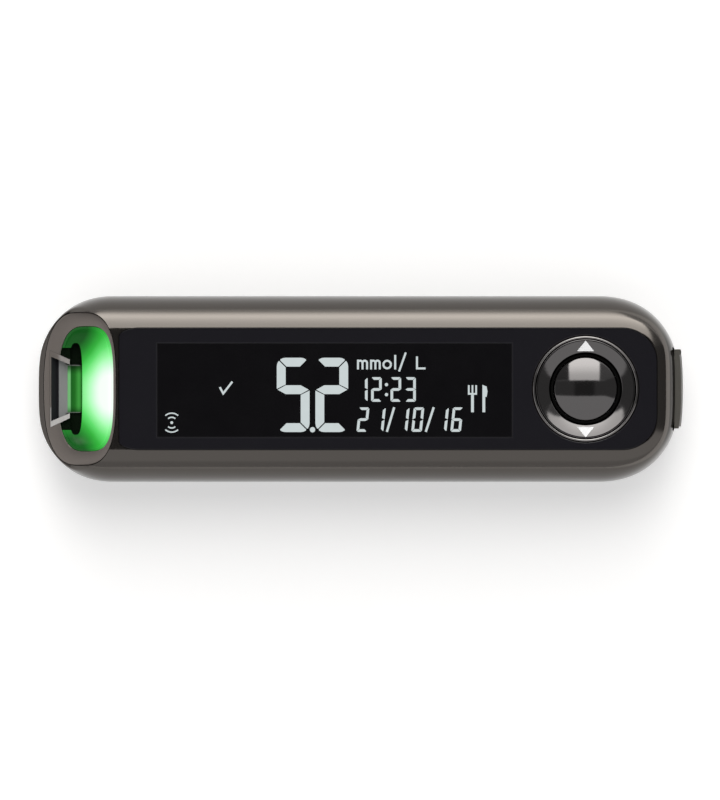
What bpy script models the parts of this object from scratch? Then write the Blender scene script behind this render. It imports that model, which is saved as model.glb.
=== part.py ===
"""A slim handheld blood glucose meter, modelled as its separate pieces.

Lengths are metres. The meter lies on its back: +Z points out of the display, -X is the strip port
and +X the keys and the end flap. The origin is on the table, under the middle of the body.
"""

import math

import bmesh
import bpy
from mathutils import Matrix, Vector

# Gaps and cuts
SEAT_GAP = 0.0003
SLIP_GAP = 0.00015
OVERRUN = 0.0010
MERGE_DISTANCE = 0.000001
SMOOTH_ANGLE = math.radians(35)

# Heights, stacked from the table up
DOOR_RECESS = 0.0003
DOOR_SKIN = 0.0006
TONGUE_THICKNESS = 0.0005
CELL_THICKNESS = 0.0032
SPRING_SPACE = 0.0006
CEILING_WALL = 0.0007
BOARD_SPACE = 0.0008
BOARD_THICKNESS = 0.0008
DISPLAY_SPACE = 0.0042
LEDGE_THICKNESS = 0.0010
LENS_THICKNESS = 0.0014
RIM_PROUD = 0.0002

TONGUE_BOTTOM = DOOR_RECESS + DOOR_SKIN
DOOR_TOP = TONGUE_BOTTOM + TONGUE_THICKNESS
CELL_BOTTOM = DOOR_TOP + SEAT_GAP
CELL_TOP = CELL_BOTTOM + CELL_THICKNESS
BAY_CEILING = CELL_TOP + SPRING_SPACE
PARTING_HEIGHT = BAY_CEILING + CEILING_WALL
BOARD_BOTTOM = PARTING_HEIGHT + BOARD_SPACE
BOARD_TOP = BOARD_BOTTOM + BOARD_THICKNESS
ON_BOARD = BOARD_TOP + SEAT_GAP
UNDER_BOARD = BOARD_BOTTOM - SEAT_GAP
CAVITY_ROOF = BOARD_TOP + DISPLAY_SPACE
LEDGE_TOP = CAVITY_ROOF + LEDGE_THICKNESS
LENS_BOTTOM = LEDGE_TOP + SEAT_GAP
LENS_TOP = LENS_BOTTOM + LENS_THICKNESS
HEIGHT = LENS_TOP + RIM_PROUD

# Widths, from the coin cells out to the sides and in again to the window
CELL_RADIUS = 0.0100
SIDE_WALL = 0.0037
SHELL_WALL = 0.0018
HOLLOW_WALL = 0.0031
BACK_ROUND = 0.0045
BEZEL_WIDTH = 0.00496
CREASE_WIDTH = 0.00196
RIM_WIDTH = 0.00006
HALF_WIDTH = CELL_RADIUS + SEAT_GAP + SIDE_WALL
CAVITY_HALF_WIDTH = HALF_WIDTH - SHELL_WALL
HOLLOW_HALF_WIDTH = HALF_WIDTH - HOLLOW_WALL
BACK_HALF_WIDTH = HALF_WIDTH - BACK_ROUND
LENS_HALF_WIDTH = HALF_WIDTH - BEZEL_WIDTH
CREASE_HALF_WIDTH = LENS_HALF_WIDTH + CREASE_WIDTH
RIM_HALF_WIDTH = LENS_HALF_WIDTH + RIM_WIDTH
KEY_MARGIN = 0.00114
FLANGE_WIDTH = 0.0004
TRIM_OUTER_RADIUS = LENS_HALF_WIDTH - KEY_MARGIN
GUIDE_FLANGE_RADIUS = TRIM_OUTER_RADIUS + FLANGE_WIDTH

# Lengths: the hollow beside the nose, the two cells, and the screws beside the keys
HOLLOW_LEFT_MARGIN = 0.005456
HOLLOW_LENGTH = 0.0215
HOLLOW_RIGHT_MARGIN = 0.0015
DOOR_MARGIN = 0.0020
CELL_SPACING = 0.0012
BAY_MARGIN = 0.0048
KEY_OFFSET = 0.0018
BOSS_RADIUS = 0.0018
TAIL_SCREW_ANGLE = math.radians(43.4)
TAIL_SCREW_DISTANCE = GUIDE_FLANGE_RADIUS + SEAT_GAP + BOSS_RADIUS
TAIL_SCREW_OFFSET = TAIL_SCREW_DISTANCE * math.cos(TAIL_SCREW_ANGLE) - KEY_OFFSET
BAY_LENGTH = 4 * CELL_RADIUS + CELL_SPACING + SEAT_GAP
STRAIGHT_LENGTH = (HOLLOW_LEFT_MARGIN + HOLLOW_LENGTH + HOLLOW_RIGHT_MARGIN + DOOR_MARGIN + BAY_LENGTH
                   + BAY_MARGIN - TAIL_SCREW_OFFSET)
END_CENTRE_X = STRAIGHT_LENGTH / 2
KEY_X = END_CENTRE_X - KEY_OFFSET
TAIL_SCREW_X = END_CENTRE_X + TAIL_SCREW_OFFSET
TAIL_SCREW_Y = TAIL_SCREW_DISTANCE * math.sin(TAIL_SCREW_ANGLE)

# Body form
NOSE_OFFSET = 0.0014
TAIL_FLATTENING = 0.0016
TIP_FLATTENING = 0.00025
NOSE_RATE_SHARE = 0.92
TAIL_RATE_SHARE = 0.68
REACH_POWER = 40
END_POWER = 2.3
RIM_POWER = 3.7
BEZEL_POWER = 0.6
BEZEL_STEPS = 3
BACK_ROUND_POWER = 2.2
WIDEST_LIFT = 0.0014
SHOULDER_ROUND = 0.0052
CREASE_DROP = 0.0005
END_STEPS = 22
BACK_STEPS = 6
SHOULDER_STEPS = 6
TOP_RING_SHARES = (0.84, 0.68, 0.52, 0.36, 0.20, 0.06)
TAIL_REACH = HALF_WIDTH - TAIL_FLATTENING
WIDEST_HEIGHT = PARTING_HEIGHT + WIDEST_LIFT

# Strip port, placed from the middle of its recess
RECESS_OFFSET = 0.00575
RECESS_HALF_LENGTH = 0.00415
RECESS_POWERS = (3.4, 2.8)
RECESS_X = -END_CENTRE_X - RECESS_OFFSET
RECESS_LEFT_X = RECESS_X - RECESS_HALF_LENGTH
RECESS_RIGHT_X = RECESS_X + RECESS_HALF_LENGTH
PORT_STEPS = 40
PORT_RING_LEFT_BAND = 0.0022
PORT_RING_RIGHT_BAND = 0.0004
PORT_RING_MARGIN = 0.0026
PORT_RING_BAND = 0.00205
PORT_RING_POWERS = (3.0, 2.6)
PORT_RING_THICKNESS = 0.0012
PORT_RING_TIP_MARGIN = 0.0010
NOSE_REACH = (RECESS_OFFSET + RECESS_HALF_LENGTH + PORT_RING_LEFT_BAND + PORT_RING_TIP_MARGIN
              - NOSE_OFFSET)
PORT_RING_X = RECESS_X + (PORT_RING_RIGHT_BAND - PORT_RING_LEFT_BAND) / 2
PORT_RING_HALF_LENGTH = RECESS_HALF_LENGTH + (PORT_RING_RIGHT_BAND + PORT_RING_LEFT_BAND) / 2
PORT_RING_HALF_WIDTH = HALF_WIDTH - PORT_RING_MARGIN
RECESS_HALF_WIDTH = PORT_RING_HALF_WIDTH - PORT_RING_BAND
POCKET_WALL = 0.0007
POCKET_FLOOR = PARTING_HEIGHT + POCKET_WALL
CONNECTOR_FLOOR = 0.0005
STRIP_FLOOR = ON_BOARD + CONNECTOR_FLOOR
STRIP_SLOT_HALF_WIDTH = 0.0038
STRIP_GUIDE_RISE = 0.0005
STRIP_GUIDE_TOP = STRIP_FLOOR + STRIP_GUIDE_RISE
STRIP_GUIDE_INSET = 0.0017
STRIP_GUIDE_RIGHT_X = RECESS_RIGHT_X - STRIP_GUIDE_INSET
GUIDE_RIM_WIDTH = 0.00035
GUIDE_BOTTOM = STRIP_GUIDE_TOP + SEAT_GAP
BOWL_OFFSET = 0.00165
BOWL_HALF_LENGTH = 0.00105
BOWL_NARROWING = 0.00245
BOWL_X = RECESS_X - BOWL_OFFSET
BOWL_HALF_WIDTH = RECESS_HALF_WIDTH - BOWL_NARROWING
BOWL_STEPS = 5
THROAT_REACH = 0.00135
THROAT_INSET = 0.0017
THROAT_STEP_LENGTH = 0.00135
THROAT_STEP_DEPTH = 0.0007
THROAT_LEFT_X = RECESS_LEFT_X - THROAT_REACH
THROAT_RIGHT_X = RECESS_LEFT_X + THROAT_INSET
THROAT_STEP_X = THROAT_LEFT_X + THROAT_STEP_LENGTH
THROAT_MOUTH_SHARE = 4 / 7
THROAT_MOUTH_HALF_WIDTH = RECESS_HALF_WIDTH * THROAT_MOUTH_SHARE
THROAT_END_HALF_WIDTH = 0.0036
CHEEK_MOUTH_WALL = 0.00045
CHEEK_END_WALL = 0.0008
THROAT_CLEARANCE = 0.0004
TROUGH_LENGTH = 0.0018
TROUGH_RIGHT_X = THROAT_RIGHT_X + TROUGH_LENGTH
TROUGH_MARGIN = 0.00225
TROUGH_HALF_WIDTH = RECESS_HALF_WIDTH - TROUGH_MARGIN
TROUGH_DEPTH = 0.0006
TROUGH_POCKET_DEPTH = 0.0004
TROUGH_FLOOR = STRIP_FLOOR - TROUGH_DEPTH
TROUGH_POCKET_FLOOR = TROUGH_FLOOR - TROUGH_POCKET_DEPTH

# Slanted nose: from the front face down to the lip that a strip slides over
NOSE_TOP_MARGIN = 0.0008
NOSE_BLEND = 0.0005
NOSE_TOP_X = RECESS_RIGHT_X + NOSE_TOP_MARGIN
NOSE_SLOPE = (HEIGHT - STRIP_FLOOR) / (NOSE_TOP_X - THROAT_LEFT_X)

# Main board and the hollow over it
BOARD_MARGIN = 0.0012
BOARD_HALF_WIDTH = CAVITY_HALF_WIDTH - BOARD_MARGIN
BOARD_LEFT_X = STRIP_GUIDE_RIGHT_X + SEAT_GAP
CAVITY_INSET = 0.0010
CAVITY_LEFT_X = BOARD_LEFT_X + CAVITY_INSET
LOW_CAVITY_REACH = 0.0016
LOW_CAVITY_LEFT_X = STRIP_GUIDE_RIGHT_X - LOW_CAVITY_REACH
LOW_CAVITY_RISE = 0.0002
LOW_CAVITY_ROOF = STRIP_GUIDE_TOP + LOW_CAVITY_RISE

# Strip connector
CONNECTOR_INSET = 0.0007
CONNECTOR_LENGTH = 0.0040
CONNECTOR_HALF_WIDTH = 0.0050
CONNECTOR_HEIGHT = 0.0024
CONNECTOR_SLOT_HEIGHT = 0.0012
CONNECTOR_LEFT_X = CAVITY_LEFT_X + CONNECTOR_INSET
CONNECTOR_RIGHT_X = CONNECTOR_LEFT_X + CONNECTOR_LENGTH
CONNECTOR_SLOT_TOP = STRIP_FLOOR + CONNECTOR_SLOT_HEIGHT
CONTACT_COUNT = 5
CONTACT_PITCH = 0.0012
CONTACT_WIDTH = 0.0005
CONTACT_THICKNESS = 0.0002
CONTACT_DIP = 0.00022
LED_SIZE = 0.0012
LED_HEIGHT = 0.0009
LED_MARGIN = 0.0002
LED_X = BOARD_LEFT_X + LED_MARGIN + LED_SIZE / 2
LED_Y = CONNECTOR_HALF_WIDTH + LED_SIZE / 2

# Keys, from the trim in to the select button
KEY_STEPS = 40
COLLAR_WALL = 0.0004
NAV_GAP = 0.0002
NAV_WIDTH = 0.0019
TRIM_WIDTH = 0.00035
TRIM_PROUD = 0.00015
MAT_MARGIN = 0.00025
TRIM_INNER_RADIUS = TRIM_OUTER_RADIUS - TRIM_WIDTH
NAV_OUTER_RADIUS = TRIM_INNER_RADIUS - NAV_GAP
NAV_INNER_RADIUS = NAV_OUTER_RADIUS - NAV_WIDTH
COLLAR_OUTER_RADIUS = NAV_INNER_RADIUS - NAV_GAP
COLLAR_INNER_RADIUS = COLLAR_OUTER_RADIUS - COLLAR_WALL
SELECT_RADIUS = COLLAR_INNER_RADIUS - SLIP_GAP
MAT_RADIUS = NAV_OUTER_RADIUS + MAT_MARGIN
GUIDE_FLANGE_THICKNESS = 0.0004
GUIDE_FLANGE_TOP = CAVITY_ROOF - SEAT_GAP
GUIDE_FLANGE_BOTTOM = GUIDE_FLANGE_TOP - GUIDE_FLANGE_THICKNESS
COLLAR_SINK = 0.0009
COLLAR_TOP = HEIGHT - COLLAR_SINK
PIVOT_BUMP_RADIUS = 0.0005
MAT_THICKNESS = 0.0009
MAT_TOP = GUIDE_FLANGE_BOTTOM - SEAT_GAP
MAT_BOTTOM = MAT_TOP - MAT_THICKNESS
KEY_STROKE_SPACE = 0.00045
NAV_LIFT = 0.0006
NAV_SINK = 0.0001
NAV_RIM_WIDTH = 0.00018
NAV_DISH_DEPTH = 0.0003
NAV_BOTTOM = CAVITY_ROOF + NAV_LIFT
NAV_RIM_TOP = HEIGHT - NAV_SINK
NAV_RIB_RADIUS = (NAV_INNER_RADIUS + NAV_OUTER_RADIUS) / 2
NAV_RIB_WIDTH = 0.0020
NAV_RIB_THICKNESS = 0.0010
NAV_RIB_BOTTOM = MAT_TOP + KEY_STROKE_SPACE
SELECT_EDGE_SINK = 0.0010
SELECT_CROWN_SINK = 0.00012
SELECT_STEM_RADIUS = 0.0015
SELECT_DOME_STEPS = 5
SELECT_BOTTOM = CAVITY_ROOF + SEAT_GAP
SELECT_EDGE_TOP = HEIGHT - SELECT_EDGE_SINK
SELECT_CROWN_TOP = HEIGHT - SELECT_CROWN_SINK
SELECT_STEM_BOTTOM = MAT_TOP + KEY_STROKE_SPACE
SWITCH_SIZE = 0.0036
SWITCH_BASE_HEIGHT = 0.0011
SWITCH_DOME_RADIUS = 0.0012
SWITCH_STEPS = 16

# Display window and the display under it, between the port and the keys
LENS_RING_GAP = 0.0006
LENS_RIGHT_OFFSET = 0.0088
LENS_LEFT_X = PORT_RING_X + PORT_RING_HALF_LENGTH + LENS_RING_GAP
LENS_RIGHT_X = END_CENTRE_X + LENS_RIGHT_OFFSET
LENS_LEFT_CORNER = (0.0030, 0.0012)
LENS_RIGHT_CORNER = (0.0051, 0.0050)
CORNER_STEPS = 6
WINDOW_RIGHT_OFFSET = 0.0029
WINDOW_MARGIN = 0.00194
WINDOW_CORNER = (0.0006, 0.0006)
LCD_OVERLAP = 0.0012
LCD_THICKNESS = 0.0012
LCD_FRAME_WALL = 0.0008
LCD_LEFT_X = CONNECTOR_RIGHT_X + SEAT_GAP + LCD_FRAME_WALL + SEAT_GAP
WINDOW_LEFT_X = LCD_LEFT_X + LCD_OVERLAP
WINDOW_RIGHT_X = KEY_X - GUIDE_FLANGE_RADIUS - WINDOW_RIGHT_OFFSET
WINDOW_HALF_WIDTH = LENS_HALF_WIDTH - WINDOW_MARGIN
LCD_RIGHT_X = WINDOW_RIGHT_X + LCD_OVERLAP
LCD_HALF_WIDTH = WINDOW_HALF_WIDTH + LCD_OVERLAP
LCD_TOP = CAVITY_ROOF - SEAT_GAP
LCD_BOTTOM = LCD_TOP - LCD_THICKNESS
ZEBRA_WIDTH = 0.0012
ZEBRA_END_SPACE = 0.0115
BACKLIGHT_THICKNESS = 0.0013
BACKLIGHT_TOP = LCD_BOTTOM - SEAT_GAP
BACKLIGHT_BACK_Y = ZEBRA_WIDTH + SEAT_GAP - LCD_HALF_WIDTH

# Screws: two beside the port and two beside the keys
SCREW_HEAD_RADIUS = 0.0015
SCREW_HEAD_HEIGHT = 0.0008
SCREW_SHANK_RADIUS = 0.0008
SCREW_LENGTH = 0.0089
SCREW_STEPS = 16
NOSE_SCREW_INSET = 0.0010
NOSE_SCREW_MARGIN = 0.0025
NOSE_SCREW_SINK = 0.0006
NOSE_SCREW_X = -END_CENTRE_X + NOSE_SCREW_INSET
NOSE_SCREW_Y = BOARD_HALF_WIDTH - NOSE_SCREW_MARGIN
TAIL_SCREW_SINK = DOOR_TOP + NOSE_SCREW_SINK

# Battery bay and its door
CELL_STEP_WIDTH = 0.0012
CELL_RIM_DROP = 0.0003
CELL_STEPS = 40
BAY_RADIUS = CELL_RADIUS + SEAT_GAP
BAY_RIGHT_X = TAIL_SCREW_X - BAY_MARGIN
CELL_2_X = BAY_RIGHT_X - BAY_RADIUS
CELL_1_X = CELL_2_X - 2 * CELL_RADIUS - CELL_SPACING
CELL_PLACES = (CELL_1_X, CELL_2_X)
SPRING_LENGTH = 0.0060
SPRING_WIDTH = 0.0030
SPRING_THICKNESS = 0.00025
SPRING_TAB_LENGTH = 0.0010
SPRING_TAB_WIDTH = 0.0006
BRIDGE_LENGTH = 0.0030
BRIDGE_WIDTH = 0.0010
BRIDGE_MARGIN = 0.0010
BRIDGE_Y = BAY_RADIUS - BRIDGE_MARGIN - BRIDGE_WIDTH / 2
DOOR_SIDE_MARGIN = 0.0001
TONGUE_WIDTH = 0.0010
DOOR_LEFT_X = CELL_1_X - CELL_RADIUS - DOOR_MARGIN
DOOR_HALF_WIDTH = BACK_HALF_WIDTH - DOOR_SIDE_MARGIN
DOOR_TONGUE_HALF_WIDTH = DOOR_HALF_WIDTH + TONGUE_WIDTH
GRIP_MARGIN = 0.0043
GRIP_X = TAIL_SCREW_X - GRIP_MARGIN
GRIP_COUNT = 4
GRIP_PITCH = 0.0012
GRIP_HALF_LENGTH = 0.0045
GRIP_WIDTH = 0.0006
GRIP_DEPTH = 0.00025

# Rear cover hollow and the parts that hang in it under the board
BACK_WALL = 0.0014
HOLLOW_CORNER = (0.0030, 0.0012)
HOLLOW_RIGHT_X = DOOR_LEFT_X - HOLLOW_RIGHT_MARGIN
HOLLOW_LEFT_X = HOLLOW_RIGHT_X - HOLLOW_LENGTH
CHIP_MARGIN = 0.0006
CONTROLLER_SIZE = (0.0070, 0.0070, 0.0011)
RADIO_SIZE = (0.0070, 0.0078, 0.0018)
MEMORY_SIZE = (0.0050, 0.0040, 0.0010)
CRYSTAL_SIZE = (0.0032, 0.0015, 0.0008)
BUZZER_RADIUS = 0.0044
BUZZER_HEIGHT = 0.0026
BUZZER_SOUND_RADIUS = 0.0008
BUZZER_STEPS = 24
CONTROLLER_X = HOLLOW_RIGHT_X - CHIP_MARGIN - CONTROLLER_SIZE[0] / 2
RADIO_X = HOLLOW_RIGHT_X - CHIP_MARGIN - RADIO_SIZE[0] / 2
CONTROLLER_Y = CHIP_MARGIN + CONTROLLER_SIZE[1] / 2
RADIO_Y = -CHIP_MARGIN - RADIO_SIZE[1] / 2
BUZZER_X = HOLLOW_LEFT_X + CHIP_MARGIN + BUZZER_RADIUS
BUZZER_Y = -HOLLOW_HALF_WIDTH / 2
MEMORY_Y = CHIP_MARGIN + MEMORY_SIZE[1] / 2
CRYSTAL_Y = MEMORY_Y + MEMORY_SIZE[1] / 2 + CHIP_MARGIN + CRYSTAL_SIZE[1] / 2

# End flap and the data socket behind it
FLAP_DEPTH = 0.0008
FLAP_HALF_WIDTH = 0.00595
FLAP_DROP = 0.0011
FLAP_HEIGHT = 0.0046
FLAP_PROUD = 0.0013
FLAP_THICKNESS = 0.00135
FLAP_BOW = 0.0003
FLAP_BOW_STEPS = 8
FLAP_TAB_THICKNESS = 0.0007
FLAP_AXIS_DEPTH = 0.0006
FLAP_AXIS_MARGIN = 0.00045
FLAP_KNUCKLE_RADIUS = 0.00045
FLAP_TAB_DEPTH = 0.0003
FLAP_INNER_X = END_CENTRE_X + TAIL_REACH - FLAP_DEPTH
FLAP_BOTTOM = ON_BOARD - FLAP_DROP
FLAP_TOP = FLAP_BOTTOM + FLAP_HEIGHT
FLAP_AXIS_X = FLAP_INNER_X + FLAP_AXIS_DEPTH
FLAP_AXIS_Y = FLAP_HALF_WIDTH - FLAP_AXIS_MARGIN
SOCKET_SINK = 0.0007
SOCKET_MARGIN = 0.0004
SOCKET_WIDTH = 0.0075
SOCKET_HEIGHT = 0.0026
SOCKET_WALL = 0.00035
SOCKET_BACK_WALL = 0.0007
SOCKET_TONGUE_WIDTH = 0.0036
SOCKET_TONGUE_THICKNESS = 0.0006
SOCKET_BEVEL = 0.0006
SOCKET_LEFT_X = KEY_X + MAT_RADIUS + SOCKET_MARGIN
SOCKET_RIGHT_X = FLAP_INNER_X - SOCKET_SINK


def finish(name, colour, roughness, metallic=0.0, alpha=1.0):
    """Return a plain surface finish."""
    material = bpy.data.materials.new(name)
    material.use_nodes = True
    shader = material.node_tree.nodes["Principled BSDF"]
    shader.inputs["Base Color"].default_value = (*colour, 1.0)
    shader.inputs["Roughness"].default_value = roughness
    shader.inputs["Metallic"].default_value = metallic
    shader.inputs["Alpha"].default_value = alpha
    return material


def soft_min(first, second, power):
    """Return the smaller of two lengths, with the change from one to the other rounded."""
    return first * second / (first ** power + second ** power) ** (1 / power)


def nose_height(x):
    """Height of the slanted nose face."""
    return HEIGHT + (x - NOSE_TOP_X) * NOSE_SLOPE


def under_nose(x, height):
    """Hold a height under the slanted nose face, with a small round where they meet."""
    gap = height - nose_height(x)
    return height - (gap + math.hypot(gap, NOSE_BLEND)) / 2


def body_outline(half_width):
    """Plan outline of the body: straight sides and two round, slightly flattened ends.

    The ends grow squarer towards the rim. Inside the rim they only shrink.
    """
    points = []
    rim_share = min(half_width / RIM_HALF_WIDTH, 1)
    inset = HALF_WIDTH - max(half_width, RIM_HALF_WIDTH)
    inset_share = max(inset / (HALF_WIDTH - RIM_HALF_WIDTH), 0)
    power = END_POWER + (RIM_POWER - END_POWER) * inset_share
    ends = ((1, END_CENTRE_X, TAIL_REACH, TAIL_RATE_SHARE),
            (-1, END_CENTRE_X + NOSE_OFFSET, NOSE_REACH, NOSE_RATE_SHARE))
    for side, centre_x, full_reach, rate_share in ends:
        reach = (full_reach - inset * rate_share) * rim_share
        for step in range(END_STEPS + 1):
            angle = math.pi * (step / END_STEPS - 0.5)
            round_along = (reach + TIP_FLATTENING) * math.cos(angle) ** (2 / power)
            along = soft_min(round_along, reach, REACH_POWER)
            across = math.copysign(abs(math.sin(angle)) ** (2 / power), math.sin(angle))
            points.append((side * (centre_x + along), side * half_width * across))
    return points


def right_part_outline(half_width, left_x):
    """The body's outline from a straight edge at left_x to the round right end."""
    points = body_outline(half_width)[:END_STEPS + 1]
    return points + [(left_x, half_width), (left_x, -half_width)]


def plate_outline(left, right, half_width, left_corner, right_corner, steps=CORNER_STEPS):
    """A plate's outline, each end with its own elliptical corners of (along, across)."""
    points = []
    for side, end, corner in ((1, right, right_corner), (-1, left, left_corner)):
        for turn in (-1, 1):
            for step in range(steps + 1):
                angle = math.pi / 2 * (step / steps)
                if turn > 0:
                    angle = math.pi / 2 - angle
                along = end - side * corner[0] * (1 - math.sin(angle))
                across = half_width - corner[1] * (1 - math.cos(angle))
                points.append((along, side * turn * across))
    return points


def oval_outline(middle_x, half_length, half_width, powers, grow=0.0):
    """A rounded oval. Its two powers set how square the right and the left corners are."""
    points = []
    for step in range(PORT_STEPS):
        angle = 2 * math.pi * step / PORT_STEPS
        power = powers[0] if math.cos(angle) > 0 else powers[1]
        along = math.copysign(abs(math.cos(angle)) ** (2 / power), math.cos(angle))
        across = math.copysign(abs(math.sin(angle)) ** (2 / power), math.sin(angle))
        points.append((middle_x + (half_length + grow) * along, (half_width + grow) * across))
    return points


def box_outline(left, right, near, far):
    """A rectangle's outline."""
    return [(left, near), (right, near), (right, far), (left, far)]


def new_object(name, mesh_data, material=None):
    """Turn a bmesh into a named object with outward faces and smooth round surfaces."""
    bmesh.ops.remove_doubles(mesh_data, verts=mesh_data.verts, dist=MERGE_DISTANCE)
    bmesh.ops.recalc_face_normals(mesh_data, faces=mesh_data.faces)
    mesh = bpy.data.meshes.new(name)
    mesh_data.to_mesh(mesh)
    mesh_data.free()
    mesh.shade_smooth()
    mesh.set_sharp_from_angle(angle=SMOOTH_ANGLE)
    item = bpy.data.objects.new(name, mesh)
    bpy.context.scene.collection.objects.link(item)
    if material:
        mesh.materials.append(material)
    return item


def skin(loops, closed=False):
    """Join loops of points with faces. A closed skin is a tube bent into a ring."""
    mesh_data = bmesh.new()
    rows = [[mesh_data.verts.new(point) for point in loop] for loop in loops]
    pairs = list(zip(rows, rows[1:]))
    if closed:
        pairs.append((rows[-1], rows[0]))
    else:
        mesh_data.faces.new(reversed(rows[0]))
        mesh_data.faces.new(rows[-1])
    for lower, upper in pairs:
        for index in range(len(lower)):
            following = (index + 1) % len(lower)
            corners = (lower[index], lower[following], upper[following], upper[index])
            mesh_data.faces.new(corners)
    return mesh_data


def prism(name, outline, low, high, material=None, axis="Z"):
    """Extrude an outline along an axis between two places."""
    place = {
        "X": lambda point, level: (level, point[0], point[1]),
        "Y": lambda point, level: (point[0], level, point[1]),
        "Z": lambda point, level: (point[0], point[1], level),
    }[axis]
    loops = [[place(point, level) for point in outline] for level in (low, high)]
    return new_object(name, skin(loops), material)


def block(name, low, high, material=None):
    """A rectangular block between two corners."""
    return prism(name, box_outline(low[0], high[0], low[1], high[1]), low[2], high[2], material)


def turned(name, profile, centre, steps, material=None, ring=False):
    """Spin a profile of (radius, height) round a vertical axis."""
    mesh_data = bmesh.new()
    points = [mesh_data.verts.new((centre[0] + r, centre[1], z)) for r, z in profile]
    for start, end in zip(points, points[1:]):
        mesh_data.edges.new((start, end))
    if ring:
        mesh_data.edges.new((points[-1], points[0]))
    bmesh.ops.spin(
        mesh_data, geom=mesh_data.verts[:] + mesh_data.edges[:], cent=(centre[0], centre[1], 0),
        axis=(0, 0, 1), angle=2 * math.pi, steps=steps, use_merge=True, use_duplicate=False)
    return new_object(name, mesh_data, material)


def disc(name, radius, low, high, centre, steps, material=None):
    """A plain round disc or pin."""
    profile = ((0, low), (radius, low), (radius, high), (0, high))
    return turned(name, profile, centre, steps, material)


def shape_with(item, others, operation="DIFFERENCE"):
    """Cut, join or intersect a piece with helper shapes, which don't become pieces."""
    for other in others:
        other.hide_render = True
        other.display_type = "WIRE"
        modifier = item.modifiers.new(other.name, "BOOLEAN")
        modifier.operation = operation
        modifier.object = other
        modifier.solver = "EXACT"


def set_origin(item, point):
    """Move a piece's origin to a joint's axis without moving the piece."""
    item.data.transform(Matrix.Translation(-Vector(point)))
    item.location = point


def body_levels():
    """Half width and height of the body's surface, from its flat back up to its rim."""
    back = []
    for step in range(BACK_STEPS + 1):
        rise_share = step / BACK_STEPS
        angle = math.acos((1 - rise_share * PARTING_HEIGHT / WIDEST_HEIGHT) ** (BACK_ROUND_POWER / 2))
        reach = (HALF_WIDTH - BACK_HALF_WIDTH) * math.sin(angle) ** (2 / BACK_ROUND_POWER)
        back.append((BACK_HALF_WIDTH + reach, rise_share * PARTING_HEIGHT))
    inner = HALF_WIDTH - SHOULDER_ROUND
    last_angle = math.acos((CREASE_HALF_WIDTH - inner) / SHOULDER_ROUND)
    rise = (HEIGHT - CREASE_DROP - WIDEST_HEIGHT) / math.sin(last_angle)
    front = [back[-1]]
    for step in range(SHOULDER_STEPS + 1):
        angle = last_angle * step / SHOULDER_STEPS
        front.append((inner + SHOULDER_ROUND * math.cos(angle),
                      WIDEST_HEIGHT + rise * math.sin(angle)))
    for step in range(1, BEZEL_STEPS + 1):
        inward_share = step / BEZEL_STEPS
        front.append((CREASE_HALF_WIDTH - (CREASE_HALF_WIDTH - RIM_HALF_WIDTH) * inward_share,
                      HEIGHT - CREASE_DROP + CREASE_DROP * inward_share ** BEZEL_POWER))
    return back, front


def back_form(name, lift=0.0):
    """The lower half of the body as a solid."""
    back, _ = body_levels()
    loops = [[(x, y, height + lift) for x, y in body_outline(width)] for width, height in back]
    return new_object(name, skin(loops))


def front_form(name, grow=0.0):
    """The upper half of the body as a solid, with the slanted nose blended in."""
    _, front = body_levels()
    levels = [(width + grow, height) for width, height in front]
    rim_width = levels[-1][0]
    levels += [(rim_width * share, HEIGHT) for share in TOP_RING_SHARES]
    loops = [[(x, y, PARTING_HEIGHT) for x, y in body_outline(levels[0][0])]]
    for width, height in levels[1:]:
        loops.append([(x, y, under_nose(x, height)) for x, y in body_outline(width)])
    return new_object(name, skin(loops))


def screw_places():
    """Every screw's name, middle and the height of its head's underside."""
    places = []
    for x, y, height in ((NOSE_SCREW_X, NOSE_SCREW_Y, NOSE_SCREW_SINK),
                         (TAIL_SCREW_X, TAIL_SCREW_Y, TAIL_SCREW_SINK)):
        for side in (1, -1):
            places.append((f"screw_{len(places) + 1}", (x, side * y), height))
    return places


def throat_outline(grow=0.0, left_x=THROAT_LEFT_X):
    """The tapered mouth that leads a test strip in."""
    wide, narrow = THROAT_MOUTH_HALF_WIDTH, THROAT_END_HALF_WIDTH
    right_x = THROAT_RIGHT_X + SLIP_GAP
    return [(left_x, -wide - grow), (right_x, -narrow - grow),
            (right_x, narrow + grow), (left_x, wide + grow)]


def cheek_outline(grow=0.0):
    """The outside of the throat's two cheeks."""
    wide = THROAT_MOUTH_HALF_WIDTH + CHEEK_MOUTH_WALL + grow
    narrow = THROAT_END_HALF_WIDTH + CHEEK_END_WALL + grow
    left_x, right_x = THROAT_LEFT_X - grow, THROAT_RIGHT_X + grow
    return [(left_x, -wide), (right_x, -narrow), (right_x, narrow), (left_x, wide)]


def port_oval(grow=0.0):
    """The recess that holds the light guide."""
    return oval_outline(RECESS_X, RECESS_HALF_LENGTH, RECESS_HALF_WIDTH, RECESS_POWERS, grow)


def ring_oval(grow=0.0):
    """The port ring's outer edge, seen from above."""
    return oval_outline(
        PORT_RING_X, PORT_RING_HALF_LENGTH, PORT_RING_HALF_WIDTH, PORT_RING_POWERS, grow)


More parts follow.
